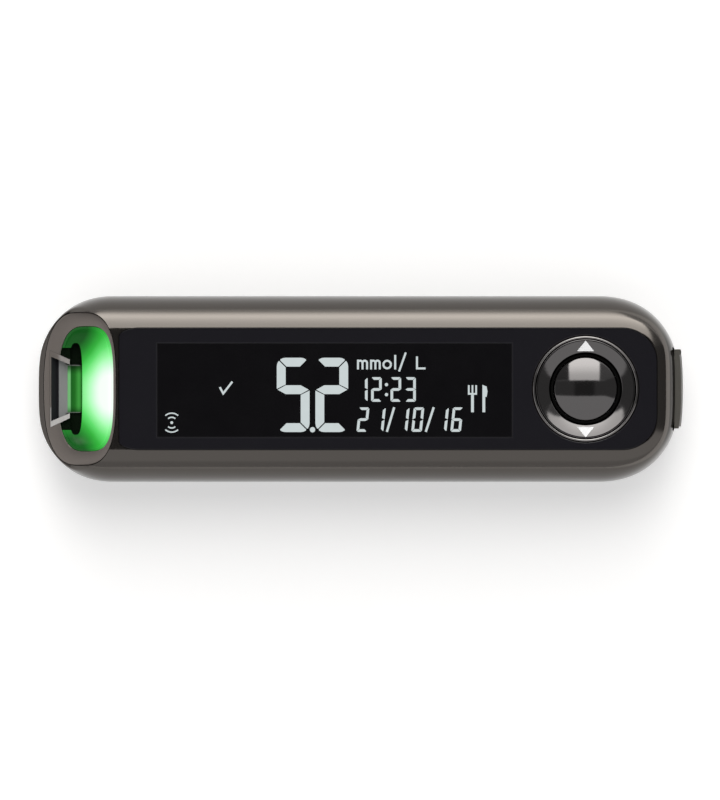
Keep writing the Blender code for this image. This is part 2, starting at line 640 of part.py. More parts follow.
def make_front_shell(metallised):
    """The bright upper housing, hollow from below."""
    shell = front_form("front_shell")
    shell.data.materials.append(metallised)
    under = PARTING_HEIGHT - OVERRUN
    above = HEIGHT + OVERRUN

    cavity = prism(
        "cavity_cut", right_part_outline(CAVITY_HALF_WIDTH, CAVITY_LEFT_X), under, CAVITY_ROOF)
    bosses = []
    bore = SCREW_SHANK_RADIUS + SLIP_GAP
    tube = ((bore, ON_BOARD), (BOSS_RADIUS, ON_BOARD), (BOSS_RADIUS, CAVITY_ROOF + OVERRUN),
            (bore, CAVITY_ROOF + OVERRUN))
    for name, centre, _ in screw_places():
        bosses.append(turned(name + "_boss", tube, centre, SCREW_STEPS, ring=True))
    shape_with(cavity, bosses)
    low_cavity = block(
        "low_cavity_cut", (LOW_CAVITY_LEFT_X, -BOARD_HALF_WIDTH - SEAT_GAP, under),
        (CAVITY_LEFT_X + OVERRUN, BOARD_HALF_WIDTH + SEAT_GAP, LOW_CAVITY_ROOF))

    lens_pocket = prism(
        "lens_pocket_cut",
        plate_outline(LENS_LEFT_X - SLIP_GAP, LENS_RIGHT_X + SLIP_GAP, LENS_HALF_WIDTH + SLIP_GAP,
                      LENS_LEFT_CORNER, LENS_RIGHT_CORNER),
        LEDGE_TOP, above)
    window = prism(
        "window_cut",
        plate_outline(WINDOW_LEFT_X, WINDOW_RIGHT_X, WINDOW_HALF_WIDTH, WINDOW_CORNER,
                      WINDOW_CORNER),
        CAVITY_ROOF - OVERRUN, LEDGE_TOP + OVERRUN)
    key_hole = disc(
        "key_hole_cut", NAV_OUTER_RADIUS + SEAT_GAP, CAVITY_ROOF - OVERRUN, LEDGE_TOP + OVERRUN,
        (KEY_X, 0), KEY_STEPS)

    ring_low = [(x, y, nose_height(x) - PORT_RING_THICKNESS - SLIP_GAP)
                for x, y in ring_oval(SLIP_GAP)]
    ring_high = [(x, y, above) for x, y, _ in ring_low]
    ring_rebate = new_object("ring_rebate_cut", skin([ring_low, ring_high]))
    port_pocket = prism("port_pocket_cut", port_oval(SLIP_GAP), POCKET_FLOOR, above)
    throat_pocket = prism("throat_pocket_cut", cheek_outline(SLIP_GAP), POCKET_FLOOR, above)

    flap_recess = block(
        "flap_recess_cut",
        (FLAP_INNER_X - SEAT_GAP, -FLAP_HALF_WIDTH - SEAT_GAP, FLAP_BOTTOM - SLIP_GAP),
        (FLAP_INNER_X + HALF_WIDTH, FLAP_HALF_WIDTH + SEAT_GAP, FLAP_TOP + SLIP_GAP))
    socket_way = block(
        "socket_way_cut",
        (SOCKET_LEFT_X, -SOCKET_WIDTH / 2 - SLIP_GAP, ON_BOARD - SLIP_GAP),
        (FLAP_INNER_X, SOCKET_WIDTH / 2 + SLIP_GAP, ON_BOARD + SOCKET_HEIGHT + SLIP_GAP))
    shape_with(shell, [cavity, low_cavity, lens_pocket, window, key_hole, ring_rebate, port_pocket,
                       throat_pocket, flap_recess, socket_way])


def make_display_lens(black_glass):
    """The glossy window, with a round hole for the keys."""
    outline = plate_outline(
        LENS_LEFT_X, LENS_RIGHT_X, LENS_HALF_WIDTH, LENS_LEFT_CORNER, LENS_RIGHT_CORNER)
    lens = prism("display_lens", outline, LENS_BOTTOM, LENS_TOP, black_glass)
    hole = disc(
        "lens_hole_cut", TRIM_OUTER_RADIUS + SLIP_GAP, LENS_BOTTOM - OVERRUN, LENS_TOP + OVERRUN,
        (KEY_X, 0), KEY_STEPS)
    shape_with(lens, [hole])


def make_keys(bright, gloss_black, black, silicone, steel):
    """The trim, the rocker ring, its guide, the domed button, the mat and the switches."""
    centre = (KEY_X, 0)
    trim_top = LENS_TOP + TRIM_PROUD
    trim = ((TRIM_INNER_RADIUS, LENS_BOTTOM), (TRIM_OUTER_RADIUS, LENS_BOTTOM),
            (TRIM_OUTER_RADIUS, trim_top), (TRIM_INNER_RADIUS, trim_top))
    turned("trim_ring", trim, centre, KEY_STEPS, bright, ring=True)

    profile = ((NAV_INNER_RADIUS, NAV_BOTTOM), (NAV_OUTER_RADIUS, NAV_BOTTOM),
               (NAV_OUTER_RADIUS, NAV_RIM_TOP), (NAV_OUTER_RADIUS - NAV_RIM_WIDTH, NAV_RIM_TOP),
               (NAV_INNER_RADIUS, NAV_RIM_TOP - NAV_DISH_DEPTH))
    nav_ring = turned("nav_ring", profile, centre, KEY_STEPS, gloss_black, ring=True)
    ribs = []
    for side in (1, -1):
        middle_y = side * NAV_RIB_RADIUS
        ribs.append(block(
            "nav_rib",
            (KEY_X - NAV_RIB_WIDTH / 2, middle_y - NAV_RIB_THICKNESS / 2, NAV_RIB_BOTTOM),
            (KEY_X + NAV_RIB_WIDTH / 2, middle_y + NAV_RIB_THICKNESS / 2,
             NAV_BOTTOM + NAV_DISH_DEPTH)))
    shape_with(nav_ring, ribs, "UNION")
    axis_point = (KEY_X, 0, NAV_BOTTOM - SEAT_GAP / 2)
    for item in (nav_ring, *ribs):
        set_origin(item, axis_point)

    profile = ((COLLAR_INNER_RADIUS, GUIDE_FLANGE_BOTTOM), (GUIDE_FLANGE_RADIUS, GUIDE_FLANGE_BOTTOM),
               (GUIDE_FLANGE_RADIUS, GUIDE_FLANGE_TOP), (COLLAR_OUTER_RADIUS, GUIDE_FLANGE_TOP),
               (COLLAR_OUTER_RADIUS, COLLAR_TOP), (COLLAR_INNER_RADIUS, COLLAR_TOP))
    guide = turned("button_guide", profile, centre, KEY_STEPS, black, ring=True)
    bumps, slots = [], []
    for side in (1, -1):
        bumps.append(disc(
            "pivot_bump", PIVOT_BUMP_RADIUS, GUIDE_FLANGE_BOTTOM + GUIDE_FLANGE_THICKNESS / 2,
            NAV_BOTTOM - SEAT_GAP, (KEY_X + side * NAV_RIB_RADIUS, 0), SCREW_STEPS))
        reach_x = NAV_RIB_WIDTH / 2 + SEAT_GAP
        reach_y = NAV_RIB_THICKNESS / 2 + SEAT_GAP
        middle_y = side * NAV_RIB_RADIUS
        slots.append(block(
            "rib_slot_cut", (KEY_X - reach_x, middle_y - reach_y, GUIDE_FLANGE_BOTTOM - OVERRUN),
            (KEY_X + reach_x, middle_y + reach_y, GUIDE_FLANGE_TOP + OVERRUN)))
    shape_with(guide, bumps, "UNION")
    shape_with(guide, slots)

    profile = [(0, SELECT_STEM_BOTTOM), (SELECT_STEM_RADIUS, SELECT_STEM_BOTTOM),
               (SELECT_STEM_RADIUS, SELECT_BOTTOM), (SELECT_RADIUS, SELECT_BOTTOM)]
    for step in range(SELECT_DOME_STEPS + 1):
        angle = math.pi / 2 * step / SELECT_DOME_STEPS
        profile.append((SELECT_RADIUS * math.cos(angle),
                        SELECT_EDGE_TOP + (SELECT_CROWN_TOP - SELECT_EDGE_TOP) * math.sin(angle)))
    turned("select_button", profile, centre, KEY_STEPS, gloss_black)

    disc("keypad_mat", MAT_RADIUS, MAT_BOTTOM, MAT_TOP, centre, KEY_STEPS, silicone)
    half = SWITCH_SIZE / 2
    outer_y = NAV_RIB_RADIUS - half / 2
    for name, y in (("up_switch", outer_y), ("select_switch", 0), ("down_switch", -outer_y)):
        base_top = ON_BOARD + SWITCH_BASE_HEIGHT
        switch = block(name, (KEY_X - half, y - half, ON_BOARD), (KEY_X + half, y + half, base_top),
                       steel)
        plunger = disc(name + "_plunger", SWITCH_DOME_RADIUS, base_top - SEAT_GAP,
                       MAT_BOTTOM - SEAT_GAP, (KEY_X, y), SWITCH_STEPS)
        shape_with(switch, [plunger], "UNION")


def make_strip_port(satin, green, grey):
    """The slanted ring, the lit scoop and the tapered throat of the test-strip port."""
    def on_nose(outline, sink):
        return [(x, y, nose_height(x) - sink) for x, y in outline]

    loops = (on_nose(ring_oval(), PORT_RING_THICKNESS), on_nose(ring_oval(), 0),
             on_nose(port_oval(SLIP_GAP), 0), on_nose(port_oval(SLIP_GAP), PORT_RING_THICKNESS))
    ring = new_object("port_ring", skin(loops, closed=True), satin)
    notch = prism("ring_notch_cut", cheek_outline(SLIP_GAP), POCKET_FLOOR, HEIGHT)
    shape_with(ring, [notch])

    outer = port_oval()
    loops = [[(x, y, GUIDE_BOTTOM) for x, y in outer], on_nose(outer, 0)]
    for step in range(BOWL_STEPS + 1):
        angle = math.pi / 2 * step / BOWL_STEPS
        inward_share = 1 - math.cos(angle)
        rim_length = RECESS_HALF_LENGTH - GUIDE_RIM_WIDTH
        rim_width = RECESS_HALF_WIDTH - GUIDE_RIM_WIDTH
        outline = oval_outline(
            RECESS_X + (BOWL_X - RECESS_X) * inward_share,
            rim_length + (BOWL_HALF_LENGTH - rim_length) * inward_share,
            rim_width + (BOWL_HALF_WIDTH - rim_width) * inward_share, RECESS_POWERS)
        fall_share = math.sin(angle)
        loops.append([(x, y, nose_height(x) + (GUIDE_BOTTOM - nose_height(x)) * fall_share)
                      for x, y in outline])
    light_guide = new_object("light_guide", skin(loops, closed=True), green)
    clear = THROAT_MOUTH_HALF_WIDTH + CHEEK_MOUTH_WALL + THROAT_CLEARANCE
    way_in = block(
        "light_guide_notch_cut",
        (RECESS_X - RECESS_HALF_LENGTH - OVERRUN, -clear, GUIDE_BOTTOM - OVERRUN),
        (THROAT_RIGHT_X + SLIP_GAP, clear, HEIGHT))
    shape_with(light_guide, [way_in])

    guide_floor = POCKET_FLOOR + SEAT_GAP
    guide = prism("strip_guide", port_oval(), guide_floor, STRIP_GUIDE_TOP, grey)
    mouth = cheek_outline()
    cheeks = new_object(
        "throat_cheeks",
        skin([[(x, y, guide_floor) for x, y in mouth], on_nose(mouth, 0)]))
    throat = prism("throat_cut", throat_outline(left_x=THROAT_LEFT_X - OVERRUN), STRIP_FLOOR, HEIGHT)
    drop = prism(
        "throat_step_cut",
        ((THROAT_LEFT_X + SEAT_GAP, STRIP_FLOOR), (THROAT_STEP_X, STRIP_FLOOR - THROAT_STEP_DEPTH),
         (THROAT_STEP_X, STRIP_FLOOR + SLIP_GAP), (THROAT_LEFT_X + SEAT_GAP, STRIP_FLOOR + SLIP_GAP)),
        -THROAT_MOUTH_HALF_WIDTH, THROAT_MOUTH_HALF_WIDTH, axis="Y")
    shape_with(drop, [prism("throat_sides", throat_outline(), guide_floor, HEIGHT)], "INTERSECT")
    trough = block(
        "trough_cut", (THROAT_RIGHT_X, -TROUGH_HALF_WIDTH, TROUGH_FLOOR),
        (TROUGH_RIGHT_X, TROUGH_HALF_WIDTH, HEIGHT))
    pockets = []
    for side in (1, -1):
        sides = sorted((side * THROAT_END_HALF_WIDTH, side * TROUGH_HALF_WIDTH))
        pockets.append(block(
            "trough_pocket_cut", (THROAT_RIGHT_X, sides[0], TROUGH_POCKET_FLOOR),
            (TROUGH_RIGHT_X, sides[1], TROUGH_FLOOR + OVERRUN)))
    channel = block(
        "strip_channel_cut", (TROUGH_RIGHT_X - SEAT_GAP, -STRIP_SLOT_HALF_WIDTH, STRIP_FLOOR),
        (STRIP_GUIDE_RIGHT_X + OVERRUN, STRIP_SLOT_HALF_WIDTH, STRIP_GUIDE_TOP + OVERRUN))
    end = block(
        "strip_guide_end_cut", (STRIP_GUIDE_RIGHT_X, -HALF_WIDTH, guide_floor - OVERRUN),
        (STRIP_GUIDE_RIGHT_X + HALF_WIDTH, HALF_WIDTH, HEIGHT))
    shape_with(guide, [cheeks], "UNION")
    shape_with(guide, [throat, drop, trough, *pockets, channel, end])


def make_strip_connector(black, gold, clear_green):
    """The socket that reads the test strip, its spring contacts and the port's lamp."""
    connector = block(
        "strip_connector", (CONNECTOR_LEFT_X, -CONNECTOR_HALF_WIDTH, ON_BOARD),
        (CONNECTOR_RIGHT_X, CONNECTOR_HALF_WIDTH, ON_BOARD + CONNECTOR_HEIGHT), black)
    slot = block(
        "connector_slot_cut", (CONNECTOR_LEFT_X - OVERRUN, -STRIP_SLOT_HALF_WIDTH, STRIP_FLOOR),
        (CONNECTOR_RIGHT_X + OVERRUN, STRIP_SLOT_HALF_WIDTH, CONNECTOR_SLOT_TOP))
    shape_with(connector, [slot])

    left = CONNECTOR_LEFT_X + SEAT_GAP
    right = CONNECTOR_RIGHT_X - SEAT_GAP
    top = CONNECTOR_SLOT_TOP - SLIP_GAP
    low = top - CONTACT_THICKNESS
    middle = (left + right) / 2
    finger = (
        (left, low), (middle, low - CONTACT_DIP), (right - CONTACT_THICKNESS, low),
        (right - CONTACT_THICKNESS, STRIP_FLOOR + SLIP_GAP), (right, STRIP_FLOOR + SLIP_GAP),
        (right, top), (middle, top - CONTACT_DIP), (left, top))
    for number in range(CONTACT_COUNT):
        y = (number - (CONTACT_COUNT - 1) / 2) * CONTACT_PITCH
        prism(f"strip_contact_{number + 1}", finger, y - CONTACT_WIDTH / 2, y + CONTACT_WIDTH / 2,
              gold, axis="Y")
    block("port_led", (LED_X - LED_SIZE / 2, LED_Y - LED_SIZE / 2, ON_BOARD),
          (LED_X + LED_SIZE / 2, LED_Y + LED_SIZE / 2, ON_BOARD + LED_HEIGHT), clear_green)


def make_display(glass, white, dark, silicone):
    """The display glass, its backlight, its frame and its rubber connector."""
    plate = box_outline(LCD_LEFT_X, LCD_RIGHT_X, -LCD_HALF_WIDTH, LCD_HALF_WIDTH)
    prism("lcd_glass", plate, LCD_BOTTOM, LCD_TOP, glass)
    block("lcd_backlight",
          (LCD_LEFT_X, BACKLIGHT_BACK_Y, BACKLIGHT_TOP - BACKLIGHT_THICKNESS),
          (LCD_RIGHT_X, LCD_HALF_WIDTH, BACKLIGHT_TOP), white)
    inner = (LCD_LEFT_X - SEAT_GAP, LCD_RIGHT_X + SEAT_GAP, LCD_HALF_WIDTH + SEAT_GAP)
    frame = block(
        "lcd_frame", (inner[0] - LCD_FRAME_WALL, -inner[2] - LCD_FRAME_WALL, ON_BOARD),
        (inner[1] + LCD_FRAME_WALL, inner[2] + LCD_FRAME_WALL, LCD_TOP), dark)
    hollow = block("lcd_frame_cut", (inner[0], -inner[2], ON_BOARD - OVERRUN),
                   (inner[1], inner[2], LCD_TOP + OVERRUN))
    shape_with(frame, [hollow])
    block("lcd_connector", (LCD_LEFT_X + ZEBRA_END_SPACE, -LCD_HALF_WIDTH, ON_BOARD),
          (LCD_RIGHT_X - ZEBRA_END_SPACE, ZEBRA_WIDTH - LCD_HALF_WIDTH, BACKLIGHT_TOP), silicone)


def make_board(circuit_green, chip_black, steel, black):
    """The main board and what is soldered under it."""
    board = prism("main_board", right_part_outline(BOARD_HALF_WIDTH, BOARD_LEFT_X), BOARD_BOTTOM,
                  BOARD_TOP, circuit_green)
    holes = []
    for name, centre, _ in screw_places():
        holes.append(disc(
            name + "_board_cut", SCREW_SHANK_RADIUS + SLIP_GAP, BOARD_BOTTOM - OVERRUN,
            BOARD_TOP + OVERRUN, centre, SCREW_STEPS))
    shape_with(board, holes)
    parts = (("microcontroller", CONTROLLER_X, CONTROLLER_Y, CONTROLLER_SIZE, chip_black),
             ("radio_module", RADIO_X, RADIO_Y, RADIO_SIZE, steel),
             ("memory_chip", BUZZER_X, MEMORY_Y, MEMORY_SIZE, chip_black),
             ("crystal", BUZZER_X, CRYSTAL_Y, CRYSTAL_SIZE, steel))
    for name, x, y, (length, width, height), material in parts:
        block(name, (x - length / 2, y - width / 2, UNDER_BOARD - height),
              (x + length / 2, y + width / 2, UNDER_BOARD), material)
    low = UNDER_BOARD - BUZZER_HEIGHT
    profile = ((0, low + BUZZER_HEIGHT / 2), (BUZZER_SOUND_RADIUS, low + BUZZER_HEIGHT / 2),
               (BUZZER_SOUND_RADIUS, low), (BUZZER_RADIUS, low), (BUZZER_RADIUS, UNDER_BOARD),
               (0, UNDER_BOARD))
    turned("buzzer", profile, (BUZZER_X, BUZZER_Y), BUZZER_STEPS, black)


def make_socket(steel):
    """The small data socket behind the end flap."""
    half = SOCKET_WIDTH / 2
    top = ON_BOARD + SOCKET_HEIGHT

    def mouth(wall):
        side, low, high = half - wall, ON_BOARD + wall, top - wall
        return [(-side + SOCKET_BEVEL, low), (side - SOCKET_BEVEL, low),
                (side, low + SOCKET_BEVEL), (side, high), (-side, high), (-side, low + SOCKET_BEVEL)]

    socket = prism("usb_socket", mouth(0), SOCKET_LEFT_X, SOCKET_RIGHT_X, steel, axis="X")
    hollow = prism("socket_cut", mouth(SOCKET_WALL), SOCKET_LEFT_X + SOCKET_BACK_WALL,
                   SOCKET_RIGHT_X + OVERRUN, axis="X")
    middle_z = (ON_BOARD + top) / 2
    tongue = block(
        "socket_tongue",
        (SOCKET_LEFT_X + SOCKET_WALL, -SOCKET_TONGUE_WIDTH / 2, middle_z),
        (SOCKET_RIGHT_X - SOCKET_WALL, SOCKET_TONGUE_WIDTH / 2, middle_z + SOCKET_TONGUE_THICKNESS))
    shape_with(socket, [hollow])
    shape_with(socket, [tongue], "UNION")


def make_port_cover(satin_dark):
    """The end flap, shaped to the body's round end and hinged at one short side."""
    outline = [(FLAP_INNER_X, FLAP_HALF_WIDTH), (FLAP_INNER_X, -FLAP_HALF_WIDTH)]
    for step in range(FLAP_BOW_STEPS + 1):
        side_share = 2 * step / FLAP_BOW_STEPS - 1
        outline.append((FLAP_INNER_X + FLAP_THICKNESS - FLAP_BOW * side_share ** 2,
                        FLAP_HALF_WIDTH * side_share))
    flap = prism("port_cover", outline, FLAP_BOTTOM, FLAP_TOP, satin_dark)
    skin_form = front_form("flap_skin", FLAP_PROUD)
    tab_cut = block(
        "flap_tab_cut",
        (FLAP_INNER_X + FLAP_TAB_THICKNESS, -FLAP_HALF_WIDTH - OVERRUN, FLAP_BOTTOM - OVERRUN),
        (FLAP_INNER_X + HALF_WIDTH, FLAP_TAB_DEPTH - FLAP_HALF_WIDTH, FLAP_TOP + OVERRUN))
    knuckle = disc("flap_knuckle", FLAP_KNUCKLE_RADIUS, FLAP_BOTTOM, FLAP_TOP,
                   (FLAP_AXIS_X, FLAP_AXIS_Y), SCREW_STEPS)
    shape_with(flap, [skin_form], "INTERSECT")
    shape_with(flap, [tab_cut])
    shape_with(flap, [knuckle], "UNION")
    set_origin(flap, (FLAP_AXIS_X, FLAP_AXIS_Y, (FLAP_BOTTOM + FLAP_TOP) / 2))


def rail_profile(half_width, tongue_half_width, bottom, tongue_bottom, top):
    """A flat slide with a tongue along each side, seen from the end."""
    return [(-half_width, bottom), (half_width, bottom), (half_width, tongue_bottom),
            (tongue_half_width, tongue_bottom), (tongue_half_width, top),
            (-tongue_half_width, top), (-tongue_half_width, tongue_bottom),
            (-half_width, tongue_bottom)]


def make_rear_cover(dark):
    """The back housing, with the battery bay, the door's rails and the screw holes."""
    cover = back_form("rear_cover")
    cover.data.materials.append(dark)
    rails = prism(
        "door_way_cut",
        rail_profile(DOOR_HALF_WIDTH + SEAT_GAP, DOOR_TONGUE_HALF_WIDTH + SEAT_GAP, -OVERRUN,
                     TONGUE_BOTTOM - SEAT_GAP, DOOR_TOP + SLIP_GAP),
        DOOR_LEFT_X - SEAT_GAP, END_CENTRE_X + HALF_WIDTH + OVERRUN, axis="X")
    hollow = prism(
        "hollow_cut",
        plate_outline(HOLLOW_LEFT_X, HOLLOW_RIGHT_X, HOLLOW_HALF_WIDTH, HOLLOW_CORNER,
                      HOLLOW_CORNER),
        BACK_WALL, PARTING_HEIGHT + OVERRUN)
    corner = (BAY_RADIUS, BAY_RADIUS)
    bay = prism(
        "battery_bay_cut",
        plate_outline(CELL_1_X - BAY_RADIUS, BAY_RIGHT_X, BAY_RADIUS, corner, corner, CELL_STEPS // 4),
        TONGUE_BOTTOM, BAY_CEILING)
    cuts = [hollow, bay]
    for name, centre, height in screw_places():
        seat = height + SCREW_HEAD_HEIGHT + SEAT_GAP
        head, bore = SCREW_HEAD_RADIUS + SEAT_GAP, SCREW_SHANK_RADIUS + SLIP_GAP
        through = PARTING_HEIGHT + OVERRUN
        stepped = ((0, -OVERRUN), (head, -OVERRUN), (head, seat), (bore, seat), (bore, through),
                   (0, through))
        cuts.append(turned(name + "_cut", stepped, centre, SCREW_STEPS))
    for number, x in enumerate(CELL_PLACES):
        cuts.append(block(
            f"tab_slot_{number + 1}_cut",
            (x - SPRING_TAB_LENGTH / 2 - SEAT_GAP, -SPRING_TAB_WIDTH / 2 - SEAT_GAP,
             BAY_CEILING - OVERRUN),
            (x + SPRING_TAB_LENGTH / 2 + SEAT_GAP, SPRING_TAB_WIDTH / 2 + SEAT_GAP,
             PARTING_HEIGHT + OVERRUN)))
    shape_with(cover, [*cuts, rails])


def make_battery(steel, cell_steel, dark):
    """The two coin cells, their contacts and the sliding door."""
    step_radius = CELL_RADIUS - CELL_STEP_WIDTH
    for number, x in enumerate(CELL_PLACES):
        profile = ((0, CELL_BOTTOM), (CELL_RADIUS, CELL_BOTTOM),
                   (CELL_RADIUS, CELL_TOP - CELL_RIM_DROP), (step_radius, CELL_TOP - CELL_RIM_DROP),
                   (step_radius, CELL_TOP), (0, CELL_TOP))
        turned(f"coin_cell_{number + 1}", profile, (x, 0), CELL_STEPS, cell_steel)
        spring_top = BAY_CEILING - SLIP_GAP
        spring = block(
            f"battery_spring_{number + 1}",
            (x - SPRING_LENGTH / 2, -SPRING_WIDTH / 2, spring_top - SPRING_THICKNESS),
            (x + SPRING_LENGTH / 2, SPRING_WIDTH / 2, spring_top), steel)
        tab = block(
            "spring_tab",
            (x - SPRING_TAB_LENGTH / 2, -SPRING_TAB_WIDTH / 2, spring_top - SPRING_THICKNESS / 2),
            (x + SPRING_TAB_LENGTH / 2, SPRING_TAB_WIDTH / 2, UNDER_BOARD))
        shape_with(spring, [tab], "UNION")
    middle_x = (CELL_1_X + CELL_2_X) / 2
    block("battery_bridge",
          (middle_x - BRIDGE_LENGTH / 2, BRIDGE_Y - BRIDGE_WIDTH / 2, CELL_BOTTOM),
          (middle_x + BRIDGE_LENGTH / 2, BRIDGE_Y + BRIDGE_WIDTH / 2, BAY_CEILING - SEAT_GAP), steel)

    door = prism(
        "battery_door",
        rail_profile(DOOR_HALF_WIDTH, DOOR_TONGUE_HALF_WIDTH, DOOR_RECESS, TONGUE_BOTTOM,
                     DOOR_TOP),
        DOOR_LEFT_X, END_CENTRE_X + HALF_WIDTH, dark, axis="X")
    skin_form = back_form("door_skin", DOOR_RECESS)
    shape_with(door, [skin_form], "INTERSECT")
    grips = []
    for number in range(GRIP_COUNT):
        x = GRIP_X + (number - (GRIP_COUNT - 1) / 2) * GRIP_PITCH
        grips.append(block(
            f"grip_{number + 1}_cut",
            (x - GRIP_WIDTH / 2, -GRIP_HALF_LENGTH, DOOR_RECESS - OVERRUN),
            (x + GRIP_WIDTH / 2, GRIP_HALF_LENGTH, DOOR_RECESS + GRIP_DEPTH)))
    shape_with(door, grips)


def make_screws(steel):
    """The four screws that close the housing from the back."""
    for name, centre, height in screw_places():
        shoulder = height + SCREW_HEAD_HEIGHT
        profile = ((0, height), (SCREW_HEAD_RADIUS, height), (SCREW_HEAD_RADIUS, shoulder),
                   (SCREW_SHANK_RADIUS, shoulder), (SCREW_SHANK_RADIUS, height + SCREW_LENGTH),
                   (0, height + SCREW_LENGTH))
        turned(name, profile, centre, SCREW_STEPS, steel)


def main():
    """Build the meter, piece by piece."""
    for item in list(bpy.data.objects):
        bpy.data.objects.remove(item, do_unlink=True)

    metallised = finish("metallised_grey", (0.13, 0.12, 0.11), 0.22, metallic=1.0)
    bright = finish("bright_trim", (0.42, 0.41, 0.40), 0.25, metallic=1.0)
    satin = finish("satin_mauve_grey", (0.19, 0.16, 0.15), 0.45, metallic=0.6)
    satin_dark = finish("satin_flap_grey", (0.10, 0.09, 0.08), 0.40, metallic=0.6)
    black_glass = finish("black_window", (0.008, 0.008, 0.010), 0.05)
    gloss_black = finish("black_chrome", (0.05, 0.05, 0.055), 0.12, metallic=0.8)
    black = finish("black_plastic", (0.012, 0.012, 0.013), 0.45)
    dark = finish("dark_grey_plastic", (0.035, 0.034, 0.034), 0.50)
    grey = finish("grey_strip_guide", (0.22, 0.22, 0.23), 0.45)
    green = finish("lit_green_guide", (0.10, 0.75, 0.14), 0.25)
    clear_green = finish("green_lamp", (0.30, 0.90, 0.35), 0.20)
    silicone = finish("soft_rubber", (0.16, 0.16, 0.17), 0.70)
    steel = finish("plated_steel", (0.62, 0.61, 0.59), 0.30, metallic=1.0)
    cell_steel = finish("cell_steel", (0.70, 0.70, 0.69), 0.25, metallic=1.0)
    gold = finish("gold_contact", (0.83, 0.62, 0.26), 0.25, metallic=1.0)
    circuit_green = finish("circuit_board", (0.02, 0.15, 0.07), 0.40)
    chip_black = finish("chip_black", (0.02, 0.02, 0.02), 0.55)
    glass = finish("display_glass", (0.02, 0.022, 0.025), 0.10)
    white = finish("white_diffuser", (0.80, 0.80, 0.78), 0.50)

    make_front_shell(metallised)
    make_display_lens(black_glass)
    make_keys(bright, gloss_black, black, silicone, steel)
    make_strip_port(satin, green, grey)
    make_strip_connector(black, gold, clear_green)
    make_display(glass, white, dark, silicone)
    make_board(circuit_green, chip_black, steel, black)
    make_socket(steel)
    make_port_cover(satin_dark)
    make_rear_cover(dark)
    make_battery(steel, cell_steel, dark)
    make_screws(steel)


if __name__ == "__main__":
    main()
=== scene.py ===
"""Looks for a slim handheld blood glucose meter.

The packed solids give every place and every moving body. This script dresses them in a metallised
shell, a black window with a lit display, a glowing test-strip port and glossy keys, on a pale floor.
"""

import math

import bmesh
import bpy
from bpy.props import FloatProperty, FloatVectorProperty, IntProperty, PointerProperty
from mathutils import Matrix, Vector


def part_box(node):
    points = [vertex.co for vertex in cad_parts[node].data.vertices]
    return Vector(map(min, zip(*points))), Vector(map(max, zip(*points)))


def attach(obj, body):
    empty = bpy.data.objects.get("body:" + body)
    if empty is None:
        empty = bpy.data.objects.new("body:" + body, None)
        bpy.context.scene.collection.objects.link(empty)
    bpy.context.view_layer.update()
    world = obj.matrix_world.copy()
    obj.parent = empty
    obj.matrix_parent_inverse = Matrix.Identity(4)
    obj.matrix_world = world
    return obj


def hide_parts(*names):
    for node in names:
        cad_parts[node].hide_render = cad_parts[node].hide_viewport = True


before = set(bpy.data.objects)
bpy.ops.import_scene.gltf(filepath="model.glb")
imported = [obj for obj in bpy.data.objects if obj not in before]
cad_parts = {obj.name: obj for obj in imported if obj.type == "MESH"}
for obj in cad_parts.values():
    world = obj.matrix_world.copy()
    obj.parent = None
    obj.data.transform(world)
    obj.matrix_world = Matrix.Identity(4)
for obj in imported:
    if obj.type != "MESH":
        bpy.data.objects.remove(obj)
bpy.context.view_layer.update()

bl_info = {
    "name": "Glucose meter dressing",
    "version": (1, 0, 0),
    "blender": (4, 5, 0),
    "location": "3D View > Sidebar > Meter",
    "description": "Dresses the packed solids of a blood glucose meter for a studio picture",
    "category": "Object",
}

# Body form, in metres
END_X = 0.0355
HALF_WIDTH = 0.0140
NOSE_OFFSET = 0.0014
NOSE_REACH = 0.0117
TAIL_REACH = 0.0124
TIP_FLATTENING = 0.00025
NOSE_RATE = 0.92
TAIL_RATE = 0.68
END_POWER = 2.3
RIM_POWER = 3.7
BEZEL_POWER = 0.6
HEIGHT = 0.0149
PARTING = 0.0062
WIDEST = 0.0076
BACK_HALF_WIDTH = 0.0095
INNER_HALF_WIDTH = 0.0088
SHOULDER = 0.0052
CREASE_HALF_WIDTH = 0.0110
CREASE_HEIGHT = 0.0144
RIM_HALF_WIDTH = 0.0091
NOSE_TOP_X = -0.0363
NOSE_SLOPE = 0.602871
NOSE_BLEND = 0.0005
CORNER_LIFT = 0.0021
GAP = 0.0003
OVERRUN = 0.001
FACING_ANGLE = math.radians(32)
OUTLINE_STEPS = 120
SIDE_PLACES = [END_X * (2 * (step / 24) ** 1.8 - 1) for step in range(1, 24)]

# Painted shade on the metallised shell below a height, as (fully shaded below, unshaded above, share of the
# colour left)
LOW_SHELL_SHADE = (0.01345, 0.01385, 0.60)

# Inside of the housing, with the screw bosses and the openings under the window
CAVITY_LEFT, CAVITY_HALF_WIDTH, CAVITY_TOP = -0.0375, 0.0122, 0.0120
NOSE_HOLLOW_LEFT, NOSE_HOLLOW_RIGHT, NOSE_HOLLOW_TOP = -0.0404, -0.0365, 0.0093
NOSE_HOLLOW_HALF_WIDTH = 0.0113
BOSS_BORE, BOSS_RADIUS, BOSS_FOOT, BOSS_TOP = 0.00095, 0.0018, 0.0081, 0.0130
LENS_SEAT = 0.0130
OPENING_FLOOR, OPENING_TOP = 0.0110, 0.0140
DISPLAY_LEFT, DISPLAY_RIGHT, DISPLAY_HALF_WIDTH = -0.0302, 0.0225, 0.0071
KEY_OPENING_RADIUS = 0.00765
COVER_TOP = 0.0072
BAY_LEFT, BAY_RIGHT, BAY_FLOOR, BAY_TOP, BAY_RADIUS = -0.005344, 0.036456, 0.0009, 0.0055, 0.0103
HOLLOW_LEFT, HOLLOW_RIGHT, HOLLOW_HALF_WIDTH, HOLLOW_FLOOR = -0.030044, -0.008544, 0.0109, 0.0014
HOLLOW_CORNER = (0.003, 0.0012)
